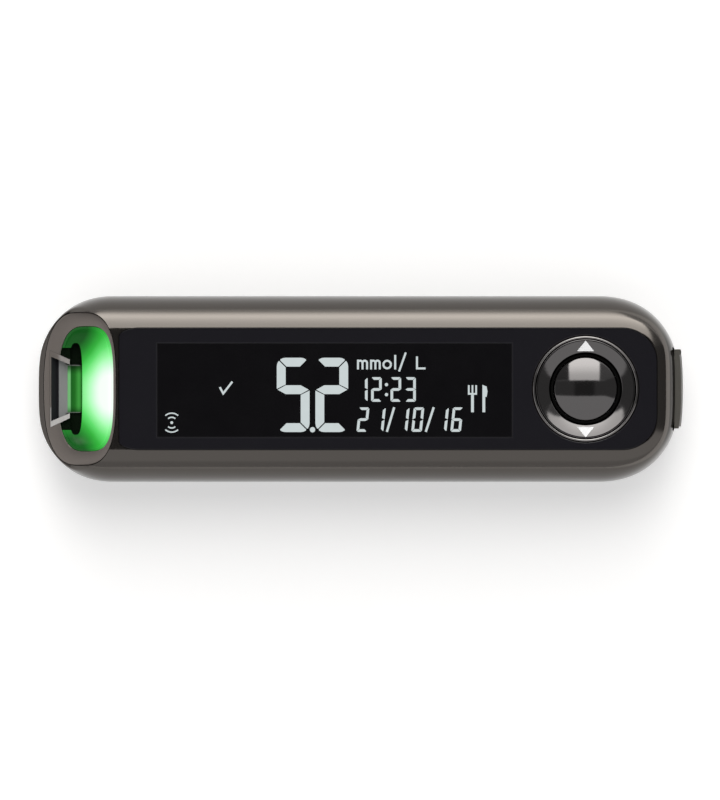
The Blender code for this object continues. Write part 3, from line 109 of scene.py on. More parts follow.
SOLDER_TAB_PLACES = (0.004956, 0.026156)

# Battery door, as (half width, low, high) of its plate and of its rails, and the ends of its way
DOOR_PLATE = (0.0094, 0.0003, 0.0009)
DOOR_RAILS = (0.0104, 0.0009, 0.0014)
DOOR_LEFT, DOOR_END = -0.007044, 0.0495
WAY_LEFT, WAY_END = -0.007344, 0.05
GRIP_START = 0.035156
GRIP_HALF_LENGTH, GRIP_HALF_WIDTH, GRIP_DEPTH = 0.0045, 0.0003, 0.00025

# End flap
FLAP_BOW, FLAP_BOW_FALL = 0.00135, 0.0003
FLAP_TAB_REACH = 0.0007
FLAP_SKIN = 0.0013
KNUCKLE_RADIUS, KNUCKLE_PLACE = 0.00045, (0.0477, 0.0055)

# Strip port
RECESS = (-0.04125, 0.00415, 0.00935, (3.4, 2.8))
RING = (-0.04215, 0.00545, 0.0114, (3.0, 2.6))
RING_THICKNESS = 0.0012
BOWL = (-0.0429, 0.00105, 0.0069)
BOWL_FLOOR = 0.0094
GUIDE_RIM = 0.00035
STRIP_FLOOR = 0.0086
PORT_FLOOR = 0.0069
THROAT_LEFT_X = -0.04675
THROAT_RIGHT_X = -0.0437

# Screws, as (middle, height of the head's underside)
SCREW_PLACES = [((x, side * y), height)
                for x, y, height in ((-0.0345, 0.0085, 0.0006), (0.041256, 0.007146, 0.0020))
                for side in (1, -1)]

# Inside outline of the strip throat, as (x, half width) of its ends
THROAT_ENDS = ((-0.04775, 0.005343), (-0.04355, 0.0036))
STEP_LEFT, STEP_RIGHT, STEP_FLOOR, STEP_TOP = -0.04645, -0.0454, 0.0079, 0.00875
TROUGH_LEFT, TROUGH_RIGHT, TROUGH_HALF_WIDTH = -0.0437, -0.0419, 0.0071
CHANNEL_HALF_WIDTH, CHANNEL_TOP = 0.0038, 0.0101
GUIDE_FOOT, GUIDE_TOP = 0.0072, 0.0091

# Keys. A foot is a lower end, a top an upper end
KEY_X = 0.0337
KEY_STEPS = 160
TRIM_BORE, TRIM_RADIUS, TRIM_FOOT, TRIM_TOP = 0.00755, 0.0079, 0.0133, 0.01485
ROCKER_BORE, ROCKER_RIM, ROCKER_FOOT, ROCKER_TOP = 0.00545, 0.00717, 0.0126, 0.0148
ROCKER_DISH = 0.0003
PIVOT_PLACE = 0.0064
COLLAR_BORE, COLLAR_RADIUS, COLLAR_TOP = 0.00485, 0.00525, 0.0140
FLANGE_RADIUS, FLANGE_FOOT, FLANGE_TOP = 0.0083, 0.0113, 0.0117
BUTTON_RADIUS, BUTTON_FOOT, BUTTON_TOP, BUTTON_FALL = 0.0047, 0.0123, 0.01478, 0.00085
STEM_RADIUS, STEM_FOOT = 0.0015, 0.01145
WINDOW_HOLE_RADIUS = 0.00805


def soft_min(first, second, power=40):
    """Return the smaller of two lengths, with the change from one to the other rounded."""
    return first * second / (first ** power + second ** power) ** (1 / power)


def nose_height(x):
    """Height of the slanted nose face."""
    return HEIGHT + (x - NOSE_TOP_X) * NOSE_SLOPE


def under_nose(x, height):
    """Hold a height under the slanted nose face. Beside the top of the port the rim stays higher."""
    share = min(max((x + 0.0440) / 0.0038, 0.0), 1.0)
    gap = height - nose_height(x) - CORNER_LIFT * share ** 2 * (3 - 2 * share)
    return height - (gap + math.hypot(gap, NOSE_BLEND)) / 2


def signed_power(value, power):
    """Raise a value's size to a power and keep its sign."""
    return math.copysign(abs(value) ** power, value)


def body_outline(half_width, steps=OUTLINE_STEPS):
    """Plan outline of the body at one level. Its ends grow squarer towards the rim."""
    points = []
    rim = min(half_width / RIM_HALF_WIDTH, 1)
    inset = HALF_WIDTH - max(half_width, RIM_HALF_WIDTH)
    power = END_POWER + (RIM_POWER - END_POWER) * max(inset / (HALF_WIDTH - RIM_HALF_WIDTH), 0)
    ends = ((1, END_X, TAIL_REACH, TAIL_RATE), (-1, END_X + NOSE_OFFSET, NOSE_REACH, NOSE_RATE))
    for side, centre, full_reach, rate in ends:
        reach = (full_reach - inset * rate) * rim
        for step in range(steps + 1):
            angle = math.pi * (step / steps - 0.5)
            along = (reach + TIP_FLATTENING) * math.cos(angle) ** (2 / power)
            across = signed_power(math.sin(angle), 2 / power)
            points.append((side * (centre + soft_min(along, reach)), side * half_width * across))
        if side > 0:
            points += [(x, half_width) for x in reversed(SIDE_PLACES)]
    return points + [(x, -half_width) for x in SIDE_PLACES]


def oval_outline(oval, grow=0.0, steps=160):
    """A rounded oval of (middle, half length, half width, right and left powers)."""
    middle, half_length, half_width, powers = oval
    points = []
    for step in range(steps):
        angle = 2 * math.pi * step / steps
        power = powers[0] if math.cos(angle) > 0 else powers[1]
        along = (half_length + grow) * signed_power(math.cos(angle), 2 / power)
        points.append((middle + along, (half_width + grow) * signed_power(math.sin(angle), 2 / power)))
    return points


def plate_outline(left, right, half_width, left_corner, right_corner, steps=24):
    """A plate's outline, each end with its own elliptical corners of (along, across)."""
    points = []
    for side, end, corner in ((1, right, right_corner), (-1, left, left_corner)):
        for turn in (-1, 1):
            for step in range(steps + 1):
                angle = math.pi / 2 * (step / steps)
                if turn > 0:
                    angle = math.pi / 2 - angle
                along = end - side * corner[0] * (1 - math.sin(angle))
                across = half_width - corner[1] * (1 - math.cos(angle))
                points.append((along, side * turn * across))
    return points


def box_outline(left, right, near, far):
    """A rectangle's outline."""
    return [(left, near), (right, near), (right, far), (left, far)]


def cheek_outline(grow=0.0):
    """The outside of the strip throat's two cheeks."""
    wide, narrow = 0.005793 + grow, 0.0044 + grow
    left, right = THROAT_LEFT_X - grow, THROAT_RIGHT_X + grow
    return [(left, -wide), (right, -narrow), (right, narrow), (left, wide)]


def on_nose(outline, sink):
    """Lay an outline on the slanted nose face, sunk by a depth."""
    return [(x, y, nose_height(x) - sink) for x, y in outline]


def new_piece(name, mesh_data):
    """Turn a bmesh into a linked object with outward faces."""
    bmesh.ops.remove_doubles(mesh_data, verts=mesh_data.verts, dist=0.0000005)
    bmesh.ops.recalc_face_normals(mesh_data, faces=mesh_data.faces)
    mesh = bpy.data.meshes.new(name)
    mesh_data.to_mesh(mesh)
    mesh_data.free()
    piece = bpy.data.objects.new(name, mesh)
    bpy.context.scene.collection.objects.link(piece)
    return piece


def skin(name, loops, closed=False):
    """Join loops of points with faces. A closed skin is a tube bent into a ring."""
    mesh_data = bmesh.new()
    rows = [[mesh_data.verts.new(point) for point in loop] for loop in loops]
    pairs = list(zip(rows, rows[1:]))
    if closed:
        pairs.append((rows[-1], rows[0]))
    else:
        mesh_data.faces.new(reversed(rows[0]))
        mesh_data.faces.new(rows[-1])
    for lower, upper in pairs:
        for index in range(len(lower)):
            after = (index + 1) % len(lower)
            mesh_data.faces.new((lower[index], lower[after], upper[after], upper[index]))
    return new_piece(name, mesh_data)


def prism(name, outline, low, high, axis="Z"):
    """Extrude an outline along an axis between two places."""
    place = {
        "X": lambda point, level: (level, point[0], point[1]),
        "Y": lambda point, level: (point[0], level, point[1]),
        "Z": lambda point, level: (point[0], point[1], level),
    }[axis]
    return skin(name, [[place(point, level) for point in outline] for level in (low, high)])


def block(name, low, high):
    """A rectangular block between two corners."""
    return prism(name, box_outline(low[0], high[0], low[1], high[1]), low[2], high[2])


def turned(name, profile, centre=(KEY_X, 0.0), steps=KEY_STEPS, ring=False):
    """Spin a profile of (radius, height) round a vertical axis."""
    mesh_data = bmesh.new()
    points = [mesh_data.verts.new((centre[0] + r, centre[1], z)) for r, z in profile]
    for start, end in zip(points, points[1:]):
        mesh_data.edges.new((start, end))
    if ring:
        mesh_data.edges.new((points[-1], points[0]))
    bmesh.ops.spin(
        mesh_data, geom=mesh_data.verts[:] + mesh_data.edges[:], cent=(centre[0], centre[1], 0),
        axis=(0, 0, 1), angle=2 * math.pi, steps=steps, use_merge=True, use_duplicate=False)
    return new_piece(name, mesh_data)


def disc(name, radius, low, high, centre=(KEY_X, 0.0), steps=KEY_STEPS):
    """A plain round cutter or pin."""
    return turned(name, ((0, low), (radius, low), (radius, high), (0, high)), centre, steps)


def rounded(profile, radii, steps=4, closed=True):
    """Round the corners of a profile, each with its own radius."""
    count = len(profile)
    points = []
    for index, (x, z) in enumerate(profile):
        ends = not closed and index in (0, count - 1)
        if ends or radii[index] == 0:
            points.append((x, z))
            continue
        corner = Vector((x, z))
        before = (Vector(profile[index - 1]) - corner).normalized()
        after = (Vector(profile[(index + 1) % count]) - corner).normalized()
        half = before.angle(after) / 2
        reach = radii[index] / math.tan(half)
        centre = corner + (before + after).normalized() * (radii[index] / math.sin(half))
        start, end = corner + before * reach, corner + after * reach
        for step in range(steps + 1):
            arm = (start - centre).lerp(end - centre, step / steps).normalized()
            points.append(tuple(centre + arm * radii[index]))
    return points


def settle(piece):
    """Replace a piece's mesh by its finished shape, without modifiers."""
    graph = bpy.context.evaluated_depsgraph_get()
    mesh = bpy.data.meshes.new_from_object(piece.evaluated_get(graph))
    piece.modifiers.clear()
    piece.data = mesh
    mesh.name = piece.name
    return piece


def shaped(piece, others, operation="DIFFERENCE"):
    """Cut, join or intersect a piece with helper shapes, then delete the helpers."""
    for other in others:
        modifier = piece.modifiers.new(other.name, "BOOLEAN")
        modifier.operation = operation
        modifier.object = other
        modifier.solver = "EXACT"
    settle(piece)
    for other in others:
        bpy.data.objects.remove(other, do_unlink=True)
    return piece


def dress(piece, surface, body, slot, *nodes):
    """Give a finished piece its finish, its body and the nodes it stands for. The slot is not used."""
    piece.data.shade_smooth()
    piece.data.set_sharp_from_angle(angle=FACING_ANGLE)
    piece.data.materials.clear()
    piece.data.materials.append(surface.material)
    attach(piece, body)
    if nodes:
        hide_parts(*nodes)
    return piece


class Number:
    """A shader value that ordinary sums can use. Each sum adds its own node."""

    def __init__(self, surface, socket):
        self.surface = surface
        self.socket = socket

    def sum(self, operation, first, second=None):
        values = {0: first} if second is None else {0: first, 1: second}
        return self.surface.add("ShaderNodeMath", {"operation": operation}, values)

    def __add__(self, other):
        return self.sum("ADD", self, other)

    def __sub__(self, other):
        return self.sum("SUBTRACT", self, other)

    def __rsub__(self, other):
        return self.sum("SUBTRACT", other, self)

    def __mul__(self, other):
        return self.sum("MULTIPLY", self, other)

    def __truediv__(self, other):
        return self.sum("DIVIDE", self, other)

    def size(self):
        """The value without its sign."""
        return self.sum("ABSOLUTE", self)

    def lowest(self, other):
        return self.sum("MINIMUM", self, other)

    def highest(self, other):
        return self.sum("MAXIMUM", self, other)


class Surface:
    """One procedural finish, on the Principled shader."""

    def __init__(self, name, **fixed):
        self.material = bpy.data.materials.new(name)
        self.material.use_nodes = True
        self.tree = self.material.node_tree
        self.shader = self.tree.nodes["Principled BSDF"]
        for socket, value in fixed.items():
            self.set(socket.replace("_", " ").title().replace("Ior", "IOR"), value)

    def plug(self, socket, value):
        if isinstance(value, Number):
            self.tree.links.new(value.socket, socket)
        elif hasattr(value, "__len__") and len(value) == 3 and len(socket.default_value) == 4:
            socket.default_value = (*value, 1.0)
        else:
            socket.default_value = value

    def set(self, socket, value):
        """Give one of the shader's sockets a value or a link."""
        self.plug(self.shader.inputs[socket], value)

    def add(self, kind, settings=None, sockets=None, output=0):
        """Add a node. Its settings come first, then the values or links of its sockets."""
        node = self.tree.nodes.new(kind)
        for setting, value in (settings or {}).items():
            if setting == "stops":
                while len(node.color_ramp.elements) < len(value):
                    node.color_ramp.elements.new(0.5)
                for element, (place, colour) in zip(node.color_ramp.elements, value):
                    element.position = place
                    element.color = (*colour, 1.0)
            else:
                setattr(node, setting, value)
        for socket, value in (sockets or {}).items():
            self.plug(node.inputs[socket], value)
        return Number(self, node.outputs[output])

    def place(self):
        """The point's x, y and z on the object, in metres."""
        point = self.add("ShaderNodeTexCoord", output=3)
        return [self.add("ShaderNodeSeparateXYZ", sockets={0: point}, output=axis) for axis in range(3)]

    def noise(self, scale, detail=3.0, stretch=(1.0, 1.0, 1.0)):
        """Fine irregularity on the piece, from 0 to 1."""
        point = self.add("ShaderNodeTexCoord", output=3)
        turned_point = self.add("ShaderNodeMapping", sockets={"Vector": point, "Scale": stretch})
        return self.add("ShaderNodeTexNoise", sockets={
            "Vector": turned_point, "Scale": scale, "Detail": detail})

    def between(self, value, low, high, start=0.0, end=1.0):
        """Go smoothly from start to end as a value goes from low to high."""
        return self.add("ShaderNodeMapRange", {"interpolation_type": "SMOOTHSTEP"}, {
            0: value, 1: low, 2: high, 3: start, 4: end})

    def colours(self, share, first, second):
        """Mix two colours by a share."""
        return self.add("ShaderNodeMix", {"data_type": "RGBA"}, {0: share, 6: first, 7: second}, 2)

    def ramp(self, value, stops):
        """Colour a value by stops of (place, colour)."""
        return self.add("ShaderNodeValToRGB", {"stops": stops}, {0: value})

    def bump(self, height, depth):
        """Raise the surface by a height of 0 to 1 times a depth in metres."""
        self.set("Normal", self.add("ShaderNodeBump", sockets={
            "Strength": 1.0, "Distance": depth, "Height": height}))


def moulded(name, colour, roughness, grain=9000.0, depth=0.00001, speckle=0.15, **fixed):
    """Fine-grained moulded plastic, rubber or coated sheet."""
    surface = Surface(name, **fixed)
    noise = surface.noise(grain, 2.0)
    dark = tuple(channel * (1 - speckle) for channel in colour)
    light = tuple(min(1.0, channel * (1 + speckle)) for channel in colour)
    surface.set("Base Color", surface.colours(noise, dark, light))
    surface.set("Roughness", surface.between(noise, 0.2, 0.8, roughness - 0.05, roughness + 0.05))
    surface.bump(noise, depth)
    return surface


def metallised(name, colour, roughness, shade_band=None):
    """Plastic with a vacuum-metallised layer. A painted shade may darken it below a height, as (fully
    shaded below, unshaded above, share of the colour left), and darker still at the tail end.
    """
    surface = Surface(name, metallic=1.0)
    flow = surface.noise(60.0, 2.0, (0.4, 1.0, 1.0))
    fine = surface.noise(2500.0, 3.0)
    dark = tuple(channel * 0.94 for channel in colour)
    base = surface.colours(flow, dark, colour)
    if shade_band:
        # Painted shade: the colour darkens below the given height, except at the nose tip, and darkens
        # further at the tail end as a painted dark reflection
        x, _, z = surface.place()
        unshaded = surface.between(z, shade_band[0], shade_band[1]).highest(surface.between(x, -0.0465, -0.0457, 0.9, 0.0))
        painted_shade = surface.between(x, 0.0450, 0.0460, 0.0, 1.0)
        painted_shade = surface.colours(painted_shade, tuple(channel * shade_band[2] for channel in colour),
                                tuple(channel * shade_band[2] * 0.5 for channel in colour))
        base = surface.colours(unshaded, painted_shade, base)
    surface.set("Base Color", base)
    surface.set("Roughness", surface.between(fine, 0.2, 0.8, roughness * 0.9, roughness * 1.1))
    surface.bump(fine, 0.0000015)
    return surface


def rolled_metal(name, colour, roughness, stretch=(0.05, 1.0, 1.0)):
    """Plated or rolled sheet metal with faint lines along it."""
    surface = Surface(name, metallic=1.0)
    lines = surface.noise(6000.0, 2.0, stretch)
    dark = tuple(channel * 0.88 for channel in colour)
    surface.set("Base Color", surface.colours(lines, dark, colour))
    surface.set("Roughness", surface.between(lines, 0.2, 0.8, roughness - 0.05, roughness + 0.08))
    surface.bump(lines, 0.000003)
    return surface


def repeated(name, original, count, rows, surface):
    """Copy a small piece along straight rows, given as (start, step), with Geometry Nodes."""
    tree = bpy.data.node_groups.new(name + "_rows", "GeometryNodeTree")
    sockets = tree.interface
    sockets.new_socket("Piece", in_out="INPUT", socket_type="NodeSocketGeometry")
    sockets.new_socket("Shape", in_out="OUTPUT", socket_type="NodeSocketGeometry")
    values = [("Copies", "NodeSocketInt", count)]
    for number, (start, step) in enumerate(rows):
        values.append((f"Start {number + 1}", "NodeSocketVector", start))
        values.append((f"Step {number + 1}", "NodeSocketVector", step))
    keys = [sockets.new_socket(label, in_out="INPUT", socket_type=kind).identifier
            for label, kind, _ in values]
    given = tree.nodes.new("NodeGroupInput").outputs
    joined = tree.nodes.new("GeometryNodeJoinGeometry")
    for number in range(len(rows)):
        line = tree.nodes.new("GeometryNodeMeshLine")
        copies = tree.nodes.new("GeometryNodeInstanceOnPoints")
        tree.links.new(given["Copies"], line.inputs["Count"])
        tree.links.new(given[f"Start {number + 1}"], line.inputs["Start Location"])
        tree.links.new(given[f"Step {number + 1}"], line.inputs["Offset"])
        tree.links.new(line.outputs["Mesh"], copies.inputs["Points"])
        tree.links.new(given["Piece"], copies.inputs["Instance"])
        tree.links.new(copies.outputs["Instances"], joined.inputs["Geometry"])
    real = tree.nodes.new("GeometryNodeRealizeInstances")
    finish = tree.nodes.new("GeometryNodeSetMaterial")
    finish.inputs["Material"].default_value = surface.material
    tree.links.new(joined.outputs["Geometry"], real.inputs["Geometry"])
    tree.links.new(real.outputs["Geometry"], finish.inputs["Geometry"])
    tree.links.new(finish.outputs["Geometry"], tree.nodes.new("NodeGroupOutput").inputs["Shape"])
    original.name = original.data.name = name
    modifier = original.modifiers.new("rows", "NODES")
    modifier.node_group = tree
    for key, (_, _, value) in zip(keys, values):
        modifier[key] = value
    return settle(original)


def back_levels(low, high, steps):
    """Half width and height of the lower body's surface between two heights."""
    levels = []
    for step in range(steps + 1):
        height = low + (high - low) * step / steps
        angle = math.acos(max(0.0, 1 - height / WIDEST) ** 1.1)
        reach = (HALF_WIDTH - BACK_HALF_WIDTH) * math.sin(angle) ** (2 / 2.2)
        levels.append((BACK_HALF_WIDTH + reach, height))
    return levels


def back_body(name, lift=0.0):
    """The lower half of the body as a solid."""
    levels = back_levels(0, PARTING * 0.12, 8) + back_levels(PARTING * 0.12, PARTING, 20)[1:]
    return skin(name, [[(x, y, z + lift) for x, y in body_outline(width)] for width, z in levels])


def front_body(name, grow=0.0):
    """The upper half of the body as a solid, with its crease and the slanted nose."""
    levels = back_levels(PARTING, WIDEST, 4)[:-1]
    last = math.acos((CREASE_HALF_WIDTH - INNER_HALF_WIDTH) / SHOULDER)
    rise = (CREASE_HEIGHT - WIDEST) / math.sin(last)
    for step in range(33):
        angle = last * step / 32
        levels.append((INNER_HALF_WIDTH + SHOULDER * math.cos(angle), WIDEST + rise * math.sin(angle)))
    inner = CREASE_HALF_WIDTH - RIM_HALF_WIDTH
    for step in range(19):
        share = 0.1 + 0.05 * step
        levels.append((CREASE_HALF_WIDTH - inner * share,
                       CREASE_HEIGHT + (HEIGHT - CREASE_HEIGHT) * share ** BEZEL_POWER))
    levels = [(width + grow, z) for width, z in levels]
    rim = levels[-1][0]
    levels += [(rim * (1 - 0.047 * step), HEIGHT) for step in range(1, 21)]
    loops = [[(x, y, PARTING) for x, y in body_outline(levels[0][0])]]
    for width, z in levels[1:]:
        loops.append([(x, y, under_nose(x, z)) for x, y in body_outline(width)])
    return skin(name, loops)


def window_outline(grow=0.0):
    """The window's outline, with its smaller corners beside the port."""
    low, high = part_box("display_lens")
    return plate_outline(low.x - grow, high.x + grow, high.y + grow,
                         (0.0030 + grow, 0.0012 + grow), (0.0051 + grow, 0.0050 + grow))


class MeterPart:
    """What every operator of this file shares."""

    bl_options = {"REGISTER", "UNDO"}


class METER_OT_front_shell(MeterPart, bpy.types.Operator):
    """Make the metallised upper housing"""

    bl_idname = "meter.front_shell"
    bl_label = "Front shell"

    def execute(self, context):
        look = context.scene.meter_shell
        seam = look.seam
        shell = front_body("meter_front_shell")
        above, under = HEIGHT + OVERRUN, PARTING - OVERRUN
        cavity = prism("cavity_cut", [
            (CAVITY_LEFT, -CAVITY_HALF_WIDTH), *body_outline(CAVITY_HALF_WIDTH, 24)[:25],
            (CAVITY_LEFT, CAVITY_HALF_WIDTH)], under, CAVITY_TOP)
        tube = ((BOSS_BORE, BOSS_FOOT), (BOSS_RADIUS, BOSS_FOOT), (BOSS_RADIUS, BOSS_TOP),
                (BOSS_BORE, BOSS_TOP))
        shaped(cavity, [turned("boss", tube, centre, 24, ring=True) for centre, _ in SCREW_PLACES])
        cuts = [
            cavity,
            block("low_cavity_cut", (NOSE_HOLLOW_LEFT, -NOSE_HOLLOW_HALF_WIDTH, under),
                  (NOSE_HOLLOW_RIGHT, NOSE_HOLLOW_HALF_WIDTH, NOSE_HOLLOW_TOP)),
            prism("lens_cut", window_outline(seam), LENS_SEAT, above),
            block("window_cut", (DISPLAY_LEFT, -DISPLAY_HALF_WIDTH, OPENING_FLOOR),
                  (DISPLAY_RIGHT, DISPLAY_HALF_WIDTH, OPENING_TOP)),
            disc("key_hole_cut", KEY_OPENING_RADIUS, OPENING_FLOOR, OPENING_TOP),
            prism("port_cut", oval_outline(RECESS, seam), PORT_FLOOR, above),
            prism("throat_cut", cheek_outline(seam), PORT_FLOOR, above),
        ]
        ring = oval_outline(RING, seam)
        cuts.append(skin("ring_cut", [on_nose(ring, RING_THICKNESS + seam),
                                      [(x, y, above) for x, y in ring]]))
        for node, side, out in (("port_cover", GAP, 10 * OVERRUN), ("usb_socket", seam, OVERRUN)):
            low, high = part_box(node)
            cuts.append(block(f"{node}_cut", (low.x - side, low.y - side, low.z - seam),
                              (high.x + out, high.y + side, high.z + seam)))
        shaped(shell, cuts)
        metal = metallised("gunmetal_lacquer", tuple(look.metal), look.roughness,
                           shade_band=LOW_SHELL_SHADE)
        dress(shell, metal, "body", "metallised", "front_shell")
        return {"FINISHED"}


class METER_OT_rear_cover(MeterPart, bpy.types.Operator):
    """Make the matt back housing with its battery bay and screw holes"""

    bl_idname = "meter.rear_cover"
    bl_label = "Rear cover"

    def execute(self, context):
        look = context.scene.meter_shell
        cover = back_body("meter_rear_cover")
        way = door_profile((DOOR_PLATE[0] + GAP, -OVERRUN, DOOR_PLATE[2] - GAP),
                           (DOOR_RAILS[0] + GAP, DOOR_PLATE[2] - GAP, DOOR_RAILS[2] + GAP / 2))
        corner = (BAY_RADIUS, BAY_RADIUS)
        cuts = [
            prism("door_way_cut", way, WAY_LEFT, WAY_END, "X"),
            prism("hollow_cut", plate_outline(
                HOLLOW_LEFT, HOLLOW_RIGHT, HOLLOW_HALF_WIDTH, HOLLOW_CORNER, HOLLOW_CORNER),
                HOLLOW_FLOOR, COVER_TOP),
            prism("bay_cut", plate_outline(BAY_LEFT, BAY_RIGHT, BAY_RADIUS, corner, corner, 40),
                  BAY_FLOOR, BAY_TOP),
        ]
        for centre, height in SCREW_PLACES:
            seat = height + 0.0011
            cuts.append(turned("screw_cut", (
                (0, -OVERRUN), (BOSS_RADIUS, -OVERRUN), (BOSS_RADIUS, seat), (BOSS_BORE, seat),
                (BOSS_BORE, COVER_TOP), (0, COVER_TOP)), centre, 32))
        for x in SOLDER_TAB_PLACES:
            cuts.append(block("tab_slot_cut", (x - 0.0008, -0.0006, BAY_TOP - OVERRUN),
                              (x + 0.0008, 0.0006, COVER_TOP)))
        shaped(cover, cuts)
        plastic = moulded("back_plastic", tuple(look.back), 0.52, depth=0.000012)
        dress(cover, plastic, "body", "dark_plastic", "rear_cover")
        return {"FINISHED"}


def door_profile(plate, rails):
    """Section of the battery door or of its way: a plate with a wider pair of rails on it."""
    corners = ((-1, plate[0], plate[1]), (1, plate[0], plate[1]), (1, plate[0], plate[2]),
               (1, rails[0], rails[1]), (1, rails[0], rails[2]), (-1, rails[0], rails[2]),
               (-1, rails[0], rails[1]), (-1, plate[0], plate[2]))
    return [(side * half, level) for side, half, level in corners]


class METER_OT_battery_door(MeterPart, bpy.types.Operator):
    """Make the sliding door with its row of thumb grips"""

    bl_idname = "meter.battery_door"
    bl_label = "Battery door"

    def execute(self, context):
        look = context.scene.meter_shell
        door = prism("meter_battery_door", door_profile(DOOR_PLATE, DOOR_RAILS), DOOR_LEFT, DOOR_END, "X")
        shaped(door, [back_body("door_skin", GAP)], "INTERSECT")
        plastic = moulded("door_plastic", tuple(look.back), 0.50, depth=0.000012)
        wide, narrow = GRIP_HALF_WIDTH, GRIP_HALF_WIDTH * 0.6
        groove = rounded([(-wide, 0.0), (wide, 0.0), (narrow, GRIP_DEPTH), (-narrow, GRIP_DEPTH)],
                         [0.0, 0.0, 0.0001, 0.0001], 3)
        groove = [(x, z - 0.0001 if z == 0.0 else z) for x, z in groove]
        rib = prism("grip", groove, -GRIP_HALF_LENGTH, GRIP_HALF_LENGTH, "Y")
        row = ((GRIP_START, 0.0, DOOR_PLATE[1]), (look.grip_pitch, 0.0, 0.0))
        grips = repeated("grip_grooves", rib, look.grips, [row], plastic)
        shaped(door, [grips])
        dress(door, plastic, "door", "dark_plastic", "battery_door")
        return {"FINISHED"}


class METER_OT_end_flap(MeterPart, bpy.types.Operator):
    """Make the hinged flap over the data socket"""

    bl_idname = "meter.end_flap"
    bl_label = "End flap"

    def execute(self, context):
        look = context.scene.meter_shell
        low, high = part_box("port_cover")
        inner_x, half = low.x, high.y
        outline = [(inner_x, half), (inner_x, -half)]
        for step in range(25):
            side = step / 12 - 1
            outline.append((inner_x + FLAP_BOW - FLAP_BOW_FALL * side ** 2, half * side))
        flap = prism("meter_end_flap", outline, low.z, high.z)
        shaped(flap, [front_body("flap_skin", FLAP_SKIN)], "INTERSECT")
        shaped(flap, [block("tab_cut", (inner_x + FLAP_TAB_REACH, -half - OVERRUN, low.z - OVERRUN),
                            (inner_x + 10 * OVERRUN, GAP - half, high.z + OVERRUN))])
        shaped(flap, [disc("knuckle", KNUCKLE_RADIUS, low.z, high.z, KNUCKLE_PLACE, 32)], "UNION")
        plastic = moulded("flap_satin", tuple(look.flap), 0.42, speckle=0.06, depth=0.000003)
        dress(flap, plastic, "flap", "satin_flap", "port_cover")
        return {"FINISHED"}


def across_hole(outline, step=math.radians(2.5)):
    """Places along an outline, as (index, share), close enough for a round hole inside it."""
    places = []
    for index, point in enumerate(outline):
        after = outline[(index + 1) % len(outline)]
        start = math.atan2(point[1], point[0] - KEY_X)
        turn = (math.atan2(after[1], after[0] - KEY_X) - start) % (2 * math.pi)
        count = max(1, math.ceil(turn / step))
        for number in range(count):
            angle = start + turn * number / count
            dx, dy = after[0] - point[0], after[1] - point[1]
            down = dx * math.sin(angle) - dy * math.cos(angle)
            along = (KEY_X - point[0]) * math.sin(angle) + point[1] * math.cos(angle)
            places.append((index, along / down if number and down else 0.0))
    return places


def display_black(look):
    """Glossy black window. The display behind it is deeper black than its printed surround."""
    surface = Surface("window_black", roughness=0.03, ior=1.46)
    x, y, _ = surface.place()
    fine = surface.noise(300.0, 2.0)
    outside = (((x + 0.0039).size() - 0.02663)).highest((y + 0.0002).size() - 0.00708)
    dark = surface.between(outside, -0.00005, 0.00005)
    edge = surface.between(outside.size(), 0.0, 0.0002, 1.0, 0.0)
    print_colour = tuple(look.window)
    display_colour = tuple(look.display)
    base = surface.colours(dark, display_colour, print_colour)
    base = surface.colours(edge * 0.5, base, (0.03, 0.03, 0.033))
    surface.set("Base Color", surface.colours(fine * 0.15, base, (0.02, 0.02, 0.022)))
    return surface


class METER_OT_window(MeterPart, bpy.types.Operator):
    """Make the glossy black window with its round hole for the keys"""

    bl_idname = "meter.window"
    bl_label = "Window"

    def execute(self, context):
        look = context.scene.meter_display
        low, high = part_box("display_lens")
        outline = window_outline()
        places = across_hole(outline)
        edge, close = look.window_edge, 0.00008

        def outer(inset, height):
            points = window_outline(close - inset)
            loop = []
            for index, share in places:
                start, end = Vector(points[index]), Vector(points[(index + 1) % len(points)])
                loop.append((*start.lerp(end, share), height))
            return loop

        def hole(grow, height):
            loop = []
            for x, y, _ in outer(0.0, 0.0):
                arm = Vector((x - KEY_X, y)).normalized() * (WINDOW_HOLE_RADIUS + grow)
                loop.append((KEY_X + arm.x, arm.y, height))
            return loop

        turns = [math.pi / 2 * step / 4 for step in range(5)]
        loops = [outer(0.0, low.z)]
        loops += [outer(edge * (1 - math.cos(a)), high.z - edge * (1 - math.sin(a))) for a in turns]
        loops += [outer(edge + 0.0002, high.z), hole(edge + 0.0002, high.z)]
        loops += [hole(edge * (1 - math.sin(a)), high.z - edge * (1 - math.cos(a))) for a in turns]
        loops.append(hole(0.0, low.z))
        window = skin("meter_window", loops, closed=True)
        dress(window, display_black(look), "body", "black_window", "display_lens")
        return {"FINISHED"}


def dish_height(radius):
    """Height of the rocker ring's upper face at a distance from its middle."""
    inward = (ROCKER_RIM - radius) / (ROCKER_RIM - ROCKER_BORE)
    return ROCKER_TOP - ROCKER_DISH * min(max(inward, 0.0), 1.0)


